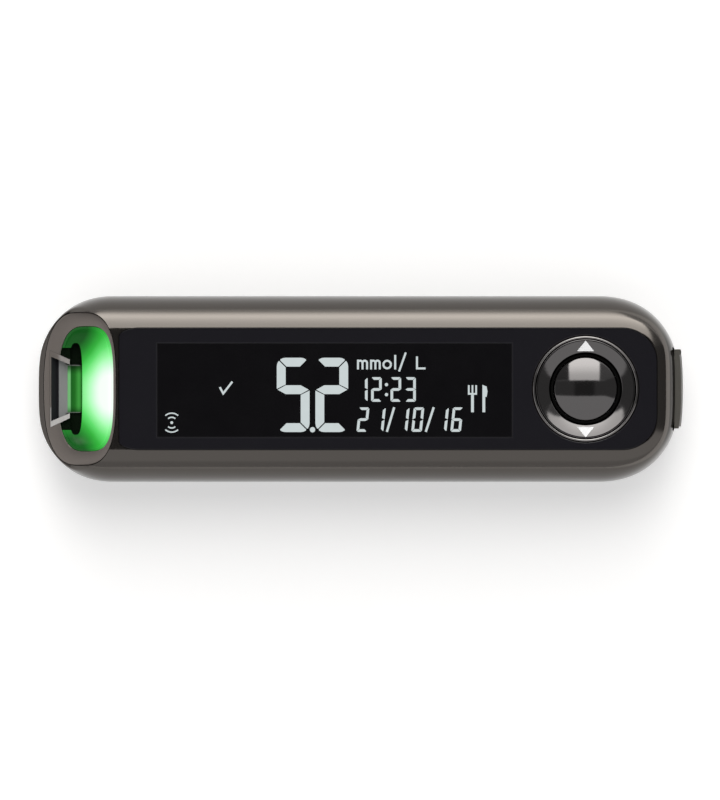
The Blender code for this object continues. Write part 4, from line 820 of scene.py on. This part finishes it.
class METER_OT_keys(MeterPart, bpy.types.Operator):
    """Make the bright trim, the rocker ring, its guide and the select button"""

    bl_idname = "meter.keys"
    bl_label = "Keys"

    def execute(self, context):
        look = context.scene.meter_keys
        trim_profile = rounded(((TRIM_BORE, TRIM_FOOT), (TRIM_RADIUS, TRIM_FOOT), (TRIM_RADIUS, TRIM_TOP),
                                (TRIM_BORE, TRIM_TOP)), [0.0, 0.0, 0.00016, 0.00014])
        trim = turned("meter_trim_ring", trim_profile, ring=True)
        dress(trim, metallised("trim_chrome", tuple(look.trim), 0.08), "body", "bright_trim", "trim_ring")

        gloss = metallised("key_black_chrome", tuple(look.key), look.roughness)
        profile = rounded(
            ((ROCKER_BORE, ROCKER_FOOT), (look.ring_radius, ROCKER_FOOT), (look.ring_radius, ROCKER_TOP),
             (ROCKER_RIM, ROCKER_TOP), (ROCKER_BORE, ROCKER_TOP - ROCKER_DISH)),
            [0.0, 0.0, 0.00008, 0.00005, 0.00012])
        ring = turned("meter_rocker_ring", profile, ring=True)
        ribs = [block("rib", (KEY_X - 0.001, side * PIVOT_PLACE - 0.0005, STEM_FOOT),
                      (KEY_X + 0.001, side * PIVOT_PLACE + 0.0005, 0.0134)) for side in (1, -1)]
        shaped(ring, ribs, "UNION")
        dress(ring, gloss, "rocker", "black_chrome", "nav_ring")

        # The white marks have a faint painted glow, though nothing lights them
        white = moulded("key_mark_white_painted_glow", (0.78, 0.79, 0.80), 0.45, speckle=0.03,
                        emission_color=(0.78, 0.79, 0.80), emission_strength=0.25)
        radii = [0.0056 + 0.0017 * step / 20 for step in range(21)]
        film = [(radius, dish_height(radius) + 0.00002) for radius in radii]
        film += [(radius, dish_height(radius) - 0.00003) for radius in reversed(radii)]
        for side, name, low, tip in ((1, "up", 0.00565, 0.00722), (-1, "down", 0.00572, 0.00725)):
            mark = prism(f"rocker_mark_{name}", [
                (KEY_X - look.mark_half_width, side * low), (KEY_X + look.mark_half_width, side * low),
                (KEY_X, side * tip)], ROCKER_TOP - OVERRUN, ROCKER_TOP + OVERRUN)
            shaped(mark, [turned("film", film, ring=True)], "INTERSECT")
            dress(mark, white, "rocker", "white_diffuser")

        black = moulded("guide_black", (0.002, 0.002, 0.002), 0.8, ior=1.15)
        profile = rounded(((COLLAR_BORE, FLANGE_FOOT), (FLANGE_RADIUS, FLANGE_FOOT),
                           (FLANGE_RADIUS, FLANGE_TOP), (COLLAR_RADIUS, FLANGE_TOP),
                           (COLLAR_RADIUS, COLLAR_TOP), (COLLAR_BORE, COLLAR_TOP)),
                          [0, 0, 0, 0, 0.0001, 0.0001])
        guide = turned("meter_key_guide", profile, ring=True)
        bumps = [disc("bump", 0.0005, 0.0115, 0.0123, (KEY_X + side * PIVOT_PLACE, 0.0), 32)
                 for side in (1, -1)]
        slots = [block("slot", (KEY_X - 0.0013, side * PIVOT_PLACE - 0.0008, 0.0110),
                       (KEY_X + 0.0013, side * PIVOT_PLACE + 0.0008, 0.0120)) for side in (1, -1)]
        shaped(shaped(guide, bumps, "UNION"), slots)
        dress(guide, black, "body", "black_plastic", "button_guide")

        profile = [(0, STEM_FOOT), (STEM_RADIUS, STEM_FOOT), (STEM_RADIUS, BUTTON_FOOT),
                   (BUTTON_RADIUS, BUTTON_FOOT)]
        dome_radius, brim = BUTTON_RADIUS - 0.00004, BUTTON_TOP - BUTTON_FALL
        profile += [(BUTTON_RADIUS, brim - 0.00007), (BUTTON_RADIUS - 0.00001, brim - 0.00003),
                    (dome_radius, brim)]
        for step in range(1, 33):
            share = 1 - step / 32
            profile.append((dome_radius * share, BUTTON_TOP - BUTTON_FALL * share ** 2))
        dome = metallised("select_black_chrome", tuple(look.key), look.roughness)
        dress(turned("meter_select_button", profile), dome, "select", "black_chrome", "select_button")
        return {"FINISHED"}


def lit_plastic(look):
    """Clear green plastic lit from below: white-hot over the lamp, darker green away from it, with a
    painted shade darkening its left side.
    """
    surface = Surface("lit_green_guide", roughness=0.45, ior=1.3)
    x, y, _ = surface.place()
    fine = surface.noise(700.0, 2.0)
    share = surface.between((y + 0.0005).size(), 0.0005, 0.0105, 0.99, 0.22)
    # Painted shade: the glow falls off towards the scoop's left side
    share = share + surface.between(x, -0.0432, -0.0379, -0.44, 0.09) + (fine - 0.5) * 0.02
    stops = [(0.0, (0.004, 0.05, 0.006)), (0.18, (0.012, 0.20, 0.018)), (0.36, (0.03, 0.40, 0.04)),
             (0.54, (0.11, 0.68, 0.14)), (0.70, (0.30, 0.88, 0.34)), (0.82, (0.52, 0.97, 0.58)),
             (0.94, (0.80, 0.99, 0.84)), (1.0, (0.92, 1.0, 0.93))]
    surface.set("Base Color", surface.colours(fine, (0.002, 0.05, 0.005), (0.003, 0.06, 0.008)))
    surface.set("Emission Color", surface.ramp(share, stops))
    surface.set("Emission Strength", look.glow)
    return surface


class METER_OT_strip_port(MeterPart, bpy.types.Operator):
    """Make the port's satin ring, its lit scoop and the grey strip throat"""

    bl_idname = "meter.strip_port"
    bl_label = "Strip port"

    def execute(self, context):
        look = context.scene.meter_port
        grow, slip, edge = 0.00007, 0.00006, look.ring_edge
        turns = [math.pi / 2 * step / 4 for step in range(5)]
        loops = [on_nose(oval_outline(RING, grow), RING_THICKNESS)]
        loops += [on_nose(oval_outline(RING, grow - edge * (1 - math.cos(a))), edge * (1 - math.sin(a)))
                  for a in turns]
        loops += [on_nose(oval_outline(RECESS, slip + edge * (1 - math.sin(a))), edge * (1 - math.cos(a)))
                  for a in turns]
        loops.append(on_nose(oval_outline(RECESS, slip), RING_THICKNESS))
        ring = skin("meter_port_ring", loops, closed=True)
        shaped(ring, [prism("notch", cheek_outline(0.00004), PORT_FLOOR, HEIGHT)])
        dress(ring, metallised("port_ring_satin", tuple(look.ring), 0.34), "body", "satin_ring",
              "port_ring")

        rim = oval_outline(RECESS)
        loops = [[(x, y, BOWL_FLOOR) for x, y in rim], on_nose(rim, 0.00004),
                 on_nose(oval_outline(RECESS, -0.00006), 0.0)]
        for step in range(25):
            angle = math.pi / 2 * step / 24
            inward, fall = 1 - math.cos(angle), math.sin(angle)
            oval = (RECESS[0] + (BOWL[0] - RECESS[0]) * inward,
                    RECESS[1] - GUIDE_RIM + (BOWL[1] - RECESS[1] + GUIDE_RIM) * inward,
                    RECESS[2] - GUIDE_RIM + (BOWL[2] - RECESS[2] + GUIDE_RIM) * inward, RECESS[3])
            loops.append([(x, y, nose_height(x) + (BOWL_FLOOR - nose_height(x)) * fall)
                          for x, y in oval_outline(oval)])
        scoop = skin("meter_light_guide", loops, closed=True)
        shaped(scoop, [block("notch", (-0.0464, -0.006193, 0.0084), (-0.04355, 0.006193, HEIGHT))])
        dress(scoop, lit_plastic(look), "body", "lit_green", "light_guide")

        guide = prism("meter_strip_guide", rim, GUIDE_FOOT, GUIDE_TOP)
        mouth = cheek_outline()
        cheeks = skin("cheeks", [[(x, y, GUIDE_FOOT) for x, y in mouth], on_nose(mouth, 0.0)])
        shaped(guide, [cheeks], "UNION")
        (outer_x, wide), (inner_x, narrow) = THROAT_ENDS
        throat = [(outer_x, -wide), (inner_x, -narrow), (inner_x, narrow), (outer_x, wide)]
        drop = prism("step", [(STEP_LEFT, STRIP_FLOOR), (STEP_RIGHT, STEP_FLOOR), (STEP_RIGHT, STEP_TOP),
                              (STEP_LEFT, STEP_TOP)], -0.0054, 0.0054, "Y")
        cuts = [
            prism("throat", throat, STRIP_FLOOR, HEIGHT),
            shaped(drop, [prism("throat_sides", throat, 0.007, HEIGHT)], "INTERSECT"),
            block("trough", (TROUGH_LEFT, -TROUGH_HALF_WIDTH, 0.0080),
                  (TROUGH_RIGHT, TROUGH_HALF_WIDTH, HEIGHT)),
            block("channel", (-0.0422, -CHANNEL_HALF_WIDTH, STRIP_FLOOR),
                  (-0.036, CHANNEL_HALF_WIDTH, CHANNEL_TOP)),
            block("end", (-0.0388, -HALF_WIDTH, 0.006), (-0.030, HALF_WIDTH, HEIGHT)),
        ]
        for side in (1, -1):
            near, far = sorted((side * narrow, side * TROUGH_HALF_WIDTH))
            cuts.append(block("pocket", (TROUGH_LEFT, near, 0.0076), (TROUGH_RIGHT, far, 0.0090)))
        shaped(guide, cuts)
        dress(guide, strip_grey(look), "body", "grey_guide", "strip_guide")
        return {"FINISHED"}


def strip_grey(look):
    """Throat: top faces like the ring with a painted highlight, a painted shadow on the step and in the
    pockets, a grey floor and painted green light from the scoop beside it.
    """
    surface = moulded("throat_grey", tuple(look.throat), 0.45, ior=1.15)
    x, y, z = surface.place()
    level = z - x * NOSE_SLOPE - (HEIGHT - NOSE_TOP_X * NOSE_SLOPE)
    top = surface.between(level, -0.00014, -0.00006)
    # Painted highlight: top faces on the lower side and towards the inner end turn a lighter, non-metallic
    # grey, where light falls on them
    lower = surface.between(y, -0.0030, -0.0026, 1.0, 0.0)
    painted_highlight = lower.highest(surface.between(x, -0.0457, -0.0450) * 0.5)
    painted_highlight = painted_highlight * surface.between(x, -0.04675, -0.0466)
    top_with_highlight = surface.colours(painted_highlight, tuple(look.ring), (0.52, 0.51, 0.50))
    # Painted shadow: the floor left of the step is near black, as the shadowed wall at the mouth
    base = surface.colours(surface.between(x, -0.0456, -0.0453), (0.016, 0.017, 0.019), tuple(look.throat))
    # Painted shade: the pockets beside the channel and the floor beside the tapered sides are near black
    outside = surface.between(y.size(), 0.0035, 0.0037) * surface.between(x, -0.0446, -0.0440)
    side_shade = surface.between(y.size() - (x + 0.0437) * -0.4567, 0.0041, 0.0043)
    base = surface.colours(outside.highest(side_shade), base, (0.001, 0.006, 0.001))
    # Painted light: the channel floor beside the scoop gets a dark green base and a green glow, brightest
    # in the middle, standing in for the scoop's light falling on it, with a bright green line at its edge
    painted_glow_zone = surface.between(x, -0.04415, -0.04405) * surface.between(y.size(), 0.0034, 0.0036, 1.0, 0.0)
    base = surface.colours(painted_glow_zone, base, (0.004, 0.02, 0.005))
    surface.set("Base Color", surface.colours(top, base, top_with_highlight))
    surface.set("Metallic", top * (1.0 - painted_highlight))
    share = (x + 0.0442) * (1 / 0.0024)
    painted_green_light = surface.ramp(share, [
        (0.0, (0.0, 0.0, 0.0)), (0.06, (0.15, 0.44, 0.16)), (0.20, (0.16, 0.44, 0.17)),
        (0.26, (0.006, 0.09, 0.008)), (0.50, (0.012, 0.13, 0.012)), (0.74, (0.045, 0.30, 0.045)),
        (0.84, (0.03, 0.22, 0.03)), (0.93, (0.006, 0.10, 0.008))])
    middle = surface.between((y + 0.0002).size(), 0.0022, 0.0037, 1.0, 0.15) * painted_glow_zone * (1.0 - top)
    surface.set("Emission Color", surface.colours(middle, (0.0, 0.0, 0.0), painted_green_light))
    surface.set("Emission Strength", look.glow)
    return surface


SEGMENTS = {"0": "abcdef", "1": "bc", "2": "abged", "3": "abgcd", "5": "afgcd", "6": "afgedc"}


def half_segments(width, height, split, bar, corner):
    """Left and top segments over a level, with mitred ends and hairline gaps."""
    gap = bar * 0.09
    arc = [(corner * (1 - math.sin(turn)), height - corner * (1 - math.cos(turn)))
           for turn in [math.pi / 2 * step / 5 for step in reversed(range(6))]]
    side = [(0.0, split + gap)] + [point for point in arc if point[1] <= height - point[0] - gap]
    side += [(max(bar * 0.3, gap), height - max(bar * 0.3, gap) - gap),
             (bar, height - bar - gap), (bar, split + bar / 2 + gap)]
    top = [(gap + bar * 0.3, height - bar * 0.3)]
    top += [point for point in arc if point[1] >= height - point[0] + gap]
    top += [(width - x, y) for x, y in reversed(top)]
    return side, top + [(width - bar - gap, height - bar), (bar + gap, height - bar)]


def segment_shapes(digit, width, height, bar, corner, share):
    """Outlines of one digit's segments. Its middle bar lies at a share of the height."""
    middle, gap = height * share, bar * 0.09
    side, top = half_segments(width, height, middle, bar, corner)
    low_side, low_top = half_segments(width, height, height - middle, bar, corner)
    flat = {
        "f": side, "a": top,
        "b": [(width - x, y) for x, y in reversed(side)],
        "e": [(x, height - y) for x, y in reversed(low_side)],
        "c": [(width - x, height - y) for x, y in low_side],
        "d": [(x, height - y) for x, y in reversed(low_top)],
        "g": [(gap, middle), (bar, middle + bar / 2), (width - bar, middle + bar / 2),
              (width - gap, middle), (width - bar, middle - bar / 2), (bar, middle - bar / 2)],
    }
    return [flat[name] for name in SEGMENTS[digit]]


def line_shape(points, width):
    """Outline of a stroke of one width along a few points, with mitred turns."""
    left, right = [], []
    for index, point in enumerate(points):
        here = Vector(point)
        before = (here - Vector(points[index - 1])).normalized() if index else None
        after = (Vector(points[index + 1]) - here).normalized() if index < len(points) - 1 else None
        way = ((before or after) + (after or before)).normalized()
        side = Vector((-way.y, way.x))
        reach = width / 2 / max(0.4, side.dot(Vector((-(after or before).y, (after or before).x))))
        left.append(tuple(here + side * reach))
        right.append(tuple(here - side * reach))
    return left + right[::-1]


def round_shape(x, y, radius, steps=20):
    """Outline of a dot."""
    return [(x + radius * math.cos(2 * math.pi * step / steps),
             y + radius * math.sin(2 * math.pi * step / steps)) for step in range(steps)]


def arc_points(x, y, radius, start, end, steps=14):
    """Points along an arc, with its angles in degrees."""
    turns = [math.radians(start + (end - start) * step / steps) for step in range(steps + 1)]
    return [(x + radius * math.cos(turn), y + radius * math.sin(turn)) for turn in turns]


def digit_row(digits, places, bottom, width, height, bar, corner, slant=0.0, share=0.5):
    """Digits placed by their left edges, in millimetres."""
    lean = math.tan(math.radians(slant))
    shapes = []
    for digit, left in zip(digits, places):
        for outline in segment_shapes(digit, width, height, bar, corner, share):
            shapes.append([(left + x + y * lean, bottom + y) for x, y in outline])
    return shapes


def reading_shapes():
    """The large reading and its decimal point."""
    shapes = digit_row("52", (-12.55, -6.77), -6.47, 4.91, 11.13, 1.33, 1.3, share=0.57)
    return shapes + [round_shape(-7.20, -6.12, 0.40)]


def unit_shapes():
    """The unit of the reading, in plain drawn letters."""
    low, tall, bar = 2.91, 4.37, 0.30
    shapes = []
    for left, right in ((-0.542, 1.115), (1.416, 3.013)):
        inner = [left + bar / 2, (left + right) / 2, right - bar / 2]
        for start, end in zip(inner, inner[1:]):
            radius = (end - start) / 2
            arch = arc_points(start + radius, tall - bar / 2 - radius, radius, 180, 0, 10)
            shapes.append(line_shape([*arch, (end, low)], bar))
        shapes.append(line_shape([(inner[0], tall), (inner[0], low)], bar))
    ring = arc_points(3.975, (low + tall) / 2, 0.565, 0, 180, 12)
    for flip in (1, -1):
        shapes.append(line_shape([(x, (low + tall) / 2 + flip * (y - (low + tall) / 2))
                                  for x, y in ring], bar))
    shapes.append(line_shape([(5.18, 5.08), (5.18, low)], bar))
    shapes.append(line_shape([(5.756, 2.607), (6.765, 5.44)], bar))
    shapes.append(line_shape([(8.29 + bar / 2, 4.85), (8.29 + bar / 2, low + bar / 2),
                              (9.72, low + bar / 2)], bar))
    return shapes


def clock_shapes():
    """The time and the date."""
    shapes = digit_row("1223", (-0.545, 1.567, 4.475, 6.67), -1.93, 1.60, 3.68, 0.40, 0.3)
    shapes += [round_shape(3.872, y, 0.25) for y in (0.633, -0.859)]
    shapes += digit_row("211016", (-0.633, 1.82, 5.39, 7.58, 11.27, 13.43), -6.43, 1.58, 3.66, 0.40,
                        0.3, 6.0)
    shapes.append(line_shape([(3.93, -6.434), (5.03, -2.757)], 0.34))
    shapes.append(line_shape([(9.76, -6.434), (10.95, -2.757)], 0.34))
    return shapes


def mark_shapes():
    """A tick, a fork-and-knife meal mark and a plain signal mark."""
    shapes = [line_shape([(-21.08, 0.26), (-20.57, -0.70), (-19.20, 1.08)], 0.30)]
    fork = 16.75
    shapes.append(line_shape([(fork, -3.5), (fork, -0.9)], 0.42))
    shapes.append(line_shape([(fork - 0.55, 0.55), (fork - 0.55, -0.75), (fork + 0.55, -0.75),
                              (fork + 0.55, 0.55)], 0.26))
    shapes.append(line_shape([(fork, 0.55), (fork, -0.75)], 0.26))
    knife = 18.45
    shapes.append(line_shape([(knife, -3.5), (knife, -1.2)], 0.42))
    shapes.append([(knife - 0.21, -1.2), (knife + 0.42, -1.2), (knife + 0.55, -0.4),
                   (knife + 0.42, 0.35), (knife - 0.21, 0.6)])
    x, y = -28.28, -5.06
    shapes.append(round_shape(x, y, 0.22))
    for radius in (0.80, 1.42):
        for middle in (90, 270):
            shapes.append(line_shape(arc_points(x, y, radius, middle - 42, middle + 42), 0.20))
    return shapes


def flat_signs(name, shapes, height, thickness):
    """Raise outlines given in millimetres as one thin piece."""
    mesh_data = bmesh.new()
    for outline in shapes:
        rows = [[mesh_data.verts.new((x * 0.001, y * 0.001, height + level)) for x, y in outline]
                for level in (0.0, thickness)]
        mesh_data.faces.new(rows[0])
        mesh_data.faces.new(rows[1])
        for index in range(len(outline)):
            after = (index + 1) % len(outline)
            mesh_data.faces.new((rows[0][index], rows[0][after], rows[1][after], rows[1][index]))
    bmesh.ops.triangulate(mesh_data, faces=[face for face in mesh_data.faces if len(face.verts) > 4])
    return new_piece(name, mesh_data)


class METER_OT_display_signs(MeterPart, bpy.types.Operator):
    """Draw the display's digits, its unit and its plain marks"""

    bl_idname = "meter.display_signs"
    bl_label = "Display signs"

    def execute(self, context):
        look = context.scene.meter_display
        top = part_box("display_lens")[1].z
        lit = Surface("display_light", roughness=0.5, ior=1.3)
        fine = lit.noise(900.0, 1.0)
        colour = tuple(look.digits)
        dark = tuple(channel * 0.93 for channel in colour)
        lit.set("Base Color", (0.02, 0.02, 0.02))
        lit.set("Emission Color", lit.colours(fine, dark, colour))
        lit.set("Emission Strength", 1.0)
        signs = (("reading", reading_shapes()), ("unit", unit_shapes()), ("clock", clock_shapes()),
                 ("marks", mark_shapes()))
        for name, shapes in signs:
            piece = flat_signs(f"display_{name}", shapes, top - 0.00001, look.sign_thickness)
            dress(piece, lit, "body", "white_diffuser")
        return {"FINISHED"}


class METER_OT_screws(MeterPart, bpy.types.Operator):
    """Set the four cross-head screws in the back"""

    bl_idname = "meter.screws"
    bl_label = "Screws"

    def execute(self, context):
        steel = rolled_metal("screw_nickel", (0.60, 0.59, 0.57), 0.28, (1.0, 1.0, 0.1))
        outline = rounded(((0, 0.0), (0.0015, 0.0), (0.0015, 0.0008), (0.0008, 0.0008),
                           (0.0008, 0.0089), (0, 0.0089)),
                          [0.0, 0.0002, 0.00005, 0.0, 0.0002, 0.0], closed=False)
        screw = turned("screw", outline, (0.0, 0.0), 40)
        arms = [block("cross", (-0.0008, -0.00018, -0.001), (0.0008, 0.00018, 0.0005)),
                block("cross", (-0.00018, -0.0008, -0.001), (0.00018, 0.0008, 0.0005))]
        shaped(screw, arms)
        rows = []
        for (x, y), height in SCREW_PLACES[::2]:
            rows.append(((x, y, height), (0.0, -2 * y, 0.0)))
        screws = repeated("meter_screws", screw, 2, rows, steel)
        dress(screws, steel, "body", "plated_steel", "screw_1", "screw_2", "screw_3", "screw_4")
        return {"FINISHED"}


class METER_OT_inner_parts(MeterPart, bpy.types.Operator):
    """Give the cells, the board and the other inner parts their finishes"""

    bl_idname = "meter.inner_parts"
    bl_label = "Inner parts"

    def execute(self, context):
        nickel = rolled_metal("inner_nickel", (0.62, 0.61, 0.59), 0.30)
        cell = rolled_metal("cell_steel", (0.70, 0.70, 0.69), 0.22)
        gold = rolled_metal("contact_gold", (0.83, 0.62, 0.26), 0.22)
        rubber = moulded("silicone_rubber", (0.16, 0.16, 0.17), 0.75)
        board = moulded("green_solder_mask", (0.02, 0.15, 0.07), 0.35, grain=2500.0)
        epoxy = moulded("chip_epoxy", (0.02, 0.02, 0.02), 0.55)
        black = moulded("inner_black", (0.013, 0.013, 0.014), 0.5)
        dark = moulded("inner_dark", (0.035, 0.034, 0.034), 0.5)
        glass = moulded("inner_glass", (0.02, 0.022, 0.025), 0.08, speckle=0.3, depth=0.000001)
        white = moulded("white_sheet", (0.80, 0.80, 0.78), 0.55, speckle=0.04)
        lamp = moulded("lamp_resin", (0.30, 0.90, 0.35), 0.15, speckle=0.08, depth=0.000002)
        finishes = {
            nickel: ("up_switch", "down_switch", "select_switch", "radio_module", "crystal",
                     "usb_socket", "battery_spring_1", "battery_spring_2", "battery_bridge"),
            cell: ("coin_cell_1", "coin_cell_2"),
            gold: tuple(f"strip_contact_{number}" for number in range(1, 6)),
            rubber: ("keypad_mat", "lcd_connector"),
            board: ("main_board",),
            epoxy: ("microcontroller", "memory_chip"),
            black: ("strip_connector", "buzzer"),
            dark: ("lcd_frame",),
            glass: ("lcd_glass",),
            white: ("lcd_backlight",),
            lamp: ("port_led",),
        }
        for surface, nodes in finishes.items():
            for node in nodes:
                item = bpy.data.objects[node]
                if not item.material_slots:
                    item.data.materials.append(surface.material)
                for slot in item.material_slots:
                    slot.material = surface.material
        return {"FINISHED"}


class Sky(Surface):
    """Soft light from all round, a little different by direction."""

    def __init__(self, name):
        self.material = bpy.data.worlds.new(name)
        self.material.use_nodes = True
        self.tree = self.material.node_tree
        self.shader = self.tree.nodes["Background"]


# Camera: the sensor in millimetres, and the width in metres that it sees at a distance
SENSOR_WIDTH = 36.0
VIEW_DISTANCE = 1.2
VIEW_WIDTH = 0.1205

# Brightness of the sky by its angle towards +Y, in degrees from straight up
AROUND = ((-100, 0.50), (-78, 0.52), (-60, 0.60), (-45, 0.68), (-10, 0.70), (12, 0.75), (25, 0.90),
          (70, 0.85), (92, 0.55))
BOX = ((8, 1.8), (18.5, 2.2), (22, 2.5), (26, 3.05), (32, 3.7), (40, 3.95), (68, 3.95), (74, 3.3),
       (80, 2.2), (86, 1.3), (92, 0.7))
BOX_SCALE = 4.0


def sky_stops(levels):
    """Colour ramp stops for levels by angle. The ramp spans 200 degrees."""
    scale = BOX_SCALE if levels is BOX else 1.0
    return [(degrees / 200 + 0.5, (level / scale,) * 3) for degrees, level in levels]


class METER_OT_stage(MeterPart, bpy.types.Operator):
    """Set the camera over the meter, with the pale floor and the soft boxes"""

    bl_idname = "meter.stage"
    bl_label = "Stage"

    def execute(self, context):
        look = context.scene.meter_stage
        scene = context.scene
        data = bpy.data.cameras.new("meter_camera")
        data.sensor_width = SENSOR_WIDTH
        data.lens = SENSOR_WIDTH * VIEW_DISTANCE / VIEW_WIDTH
        camera = bpy.data.objects.new("meter_camera", data)
        camera.location = (-0.00009, -0.00167, look.camera_height)
        scene.collection.objects.link(camera)
        scene.camera = camera

        floor = prism("studio_floor", box_outline(-3.0, 3.0, -3.0, 3.0), -0.01, 0.0)
        paper = Surface("pale_floor", roughness=0.9)
        fine = paper.noise(40.0, 2.0)
        pale = tuple(look.floor)
        paper.set("Base Color", paper.colours(fine * 0.05, pale, (0.7, 0.7, 0.7)))
        rays = [paper.add("ShaderNodeLightPath", output=output) for output in
                ("Is Camera Ray", "Is Glossy Ray", "Is Transmission Ray")]
        seen = (rays[0] + rays[1] + rays[2]) * look.floor_light
        paper.set("Emission Color", paper.colours(seen, (0.0, 0.0, 0.0), (1.0, 1.0, 1.0)))
        paper.set("Emission Strength", 1.0)
        floor.data.materials.append(paper.material)

        sky = Sky("studio_sky")
        way = sky.add("ShaderNodeTexCoord", output=0)
        x, y, z = [sky.add("ShaderNodeSeparateXYZ", sockets={0: way}, output=axis) for axis in range(3)]
        high = z.highest(0.02)
        across, along = x / high, y / high
        tilt = sky.add("ShaderNodeMath", {"operation": "ARCTAN2"}, {0: y, 1: z}) * (0.9 / math.pi) + 0.5
        around = sky.ramp(tilt, sky_stops(AROUND))
        box = sky.ramp(tilt, sky_stops(BOX)) * BOX_SCALE
        in_box = sky.between(along, 0.19, 0.23) * sky.between(
            across.size() - along * 0.1, 0.32, 0.37, 1.0, 0.0)
        narrow = along / ((across - 0.5).highest(0.0) * 1.6 + 1.0)
        in_strip = sky.between(narrow, -0.19, -0.15) * sky.between(narrow, 0.19, 0.23, 1.0, 0.0)
        in_strip = in_strip * sky.between(across, -1.4, -1.1)
        left = sky.between(across, -0.42, -0.34, 0.85, 0.0) * sky.between(along, 1.0, 1.5, 1.0, 0.0)
        right = sky.between(across, 0.34, 0.42, 0.0, 0.7) * sky.between(along, 0.6, 0.9, 1.0, 0.0)
        around = around * (1.0 - sky.between(along, 0.15, 0.25) * (left + right))
        strip = sky.between(across.size(), 0.18, 0.3, 1.0, 2.0) * look.strip
        level = around * (1.0 - in_strip) + in_strip * strip
        level = level * (1.0 - in_box) + box * in_box
        sky.set("Color", sky.colours(in_box, (1.0, 0.99, 0.99), (1.0, 0.985, 0.96)))
        sky.set("Strength", level * look.sky)
        scene.world = sky.material

        scene.view_settings.view_transform = "Standard"
        return {"FINISHED"}


def size_choice(name, default, description):
    return FloatProperty(
        name=name, description=description, default=default, min=0.0, precision=5, unit="LENGTH")


def colour_choice(name, default, description):
    return FloatVectorProperty(
        name=name, description=description, default=default, size=3, min=0.0, max=1.0, subtype="COLOR")


class MeterShellLook(bpy.types.PropertyGroup):
    """Sizes and finishes of the housing."""

    seam: size_choice("Seam", 0.00015, "Hairline gap round the pieces let into the shell")
    grip_pitch: size_choice("Grip pitch", 0.0012, "Distance from one grip groove to the next")
    grips: IntProperty(name="Grips", description="Number of grip grooves", default=4, min=1, max=8)
    metal: colour_choice("Metal", (0.135, 0.124, 0.114), "Colour of the metallised housing")
    flap: colour_choice("Flap", (0.07, 0.066, 0.056), "Colour of the end flap")
    back: colour_choice("Back", (0.035, 0.034, 0.034), "Colour of the rear cover and the door")
    roughness: FloatProperty(
        name="Roughness", description="How soft the housing's reflections are", default=0.16,
        min=0.02, max=1.0, subtype="FACTOR")


class MeterDisplayLook(bpy.types.PropertyGroup):
    """Sizes and finishes of the window and the display."""

    window_edge: size_choice("Window edge", 0.00008, "Round of the window's upper edges")
    sign_thickness: size_choice("Sign thickness", 0.00003, "Thickness of the lit signs")
    window: colour_choice("Window", (0.011, 0.0105, 0.014), "Colour of the window's surround")
    display: colour_choice("Display", (0.0025, 0.0022, 0.003), "Colour of the dark display")
    digits: colour_choice("Digits", (0.58, 0.645, 0.65), "Colour of the lit digits")


class MeterKeysLook(bpy.types.PropertyGroup):
    """Sizes and finishes of the keys."""

    ring_radius: size_choice("Ring radius", 0.0074, "Outer radius of the rocker ring")
    mark_half_width: size_choice("Mark half width", 0.00126, "Half the width of the up and down marks")
    trim: colour_choice("Trim", (0.30, 0.29, 0.285), "Colour of the bright ring")
    key: colour_choice("Keys", (0.16, 0.155, 0.155), "Colour of the rocker ring and the button")
    roughness: FloatProperty(
        name="Roughness", description="How soft the keys' reflections are", default=0.07,
        min=0.02, max=1.0, subtype="FACTOR")


class MeterPortLook(bpy.types.PropertyGroup):
    """Sizes and finishes of the strip port."""

    ring_edge: size_choice("Ring edge", 0.00009, "Round of the satin ring's upper edges")
    ring: colour_choice("Ring", (0.26, 0.232, 0.212), "Colour of the satin ring")
    throat: colour_choice("Throat", (0.24, 0.24, 0.245), "Colour of the strip throat")
    glow: FloatProperty(
        name="Glow", description="Strength of the light in the scoop", default=1.0, min=0.0, max=10.0)


class MeterStageLook(bpy.types.PropertyGroup):
    """The camera, the floor and the light."""

    camera_height: FloatProperty(
        name="Camera height", description="Height of the camera over the floor", default=1.2076,
        min=0.2, max=10.0, unit="LENGTH")
    floor: colour_choice("Floor", (0.8, 0.8, 0.8), "Colour of the floor")
    floor_light: FloatProperty(
        name="Floor light", description="Extra light of the floor as the camera sees it",
        default=0.40, min=0.0, max=1.0)
    strip: FloatProperty(
        name="Dark strip", description="Brightness of the dark strip overhead", default=0.07, min=0.0)
    sky: FloatProperty(
        name="Sky", description="Brightness of the studio's light as a whole", default=1.0, min=0.0)


LOOKS = {
    "meter_shell": MeterShellLook, "meter_display": MeterDisplayLook, "meter_keys": MeterKeysLook,
    "meter_port": MeterPortLook, "meter_stage": MeterStageLook,
}
PIECES = (
    METER_OT_front_shell, METER_OT_rear_cover, METER_OT_battery_door, METER_OT_end_flap,
    METER_OT_window, METER_OT_keys, METER_OT_strip_port, METER_OT_display_signs, METER_OT_screws,
    METER_OT_inner_parts, METER_OT_stage,
)


class METER_PT_dressing(bpy.types.Panel):
    """Sizes, colours and steps of the meter's dressing"""

    bl_idname = "METER_PT_dressing"
    bl_label = "Meter"
    bl_space_type = "VIEW_3D"
    bl_region_type = "UI"
    bl_category = "Meter"

    def draw(self, context):
        for key, look in LOOKS.items():
            box = self.layout.box()
            box.label(text=look.__doc__)
            for choice in look.__annotations__:
                box.prop(getattr(context.scene, key), choice)
        for piece in PIECES:
            self.layout.operator(piece.bl_idname)


def register():
    for item in (*LOOKS.values(), *PIECES, METER_PT_dressing):
        bpy.utils.register_class(item)
    for key, look in LOOKS.items():
        setattr(bpy.types.Scene, key, PointerProperty(type=look))


def unregister():
    for key in LOOKS:
        delattr(bpy.types.Scene, key)
    for item in (METER_PT_dressing, *reversed(PIECES), *reversed(LOOKS.values())):
        bpy.utils.unregister_class(item)


def main():
    register()
    for piece in PIECES:
        group, action = piece.bl_idname.split(".")
        getattr(getattr(bpy.ops, group), action)()


if __name__ == "__main__":
    main()
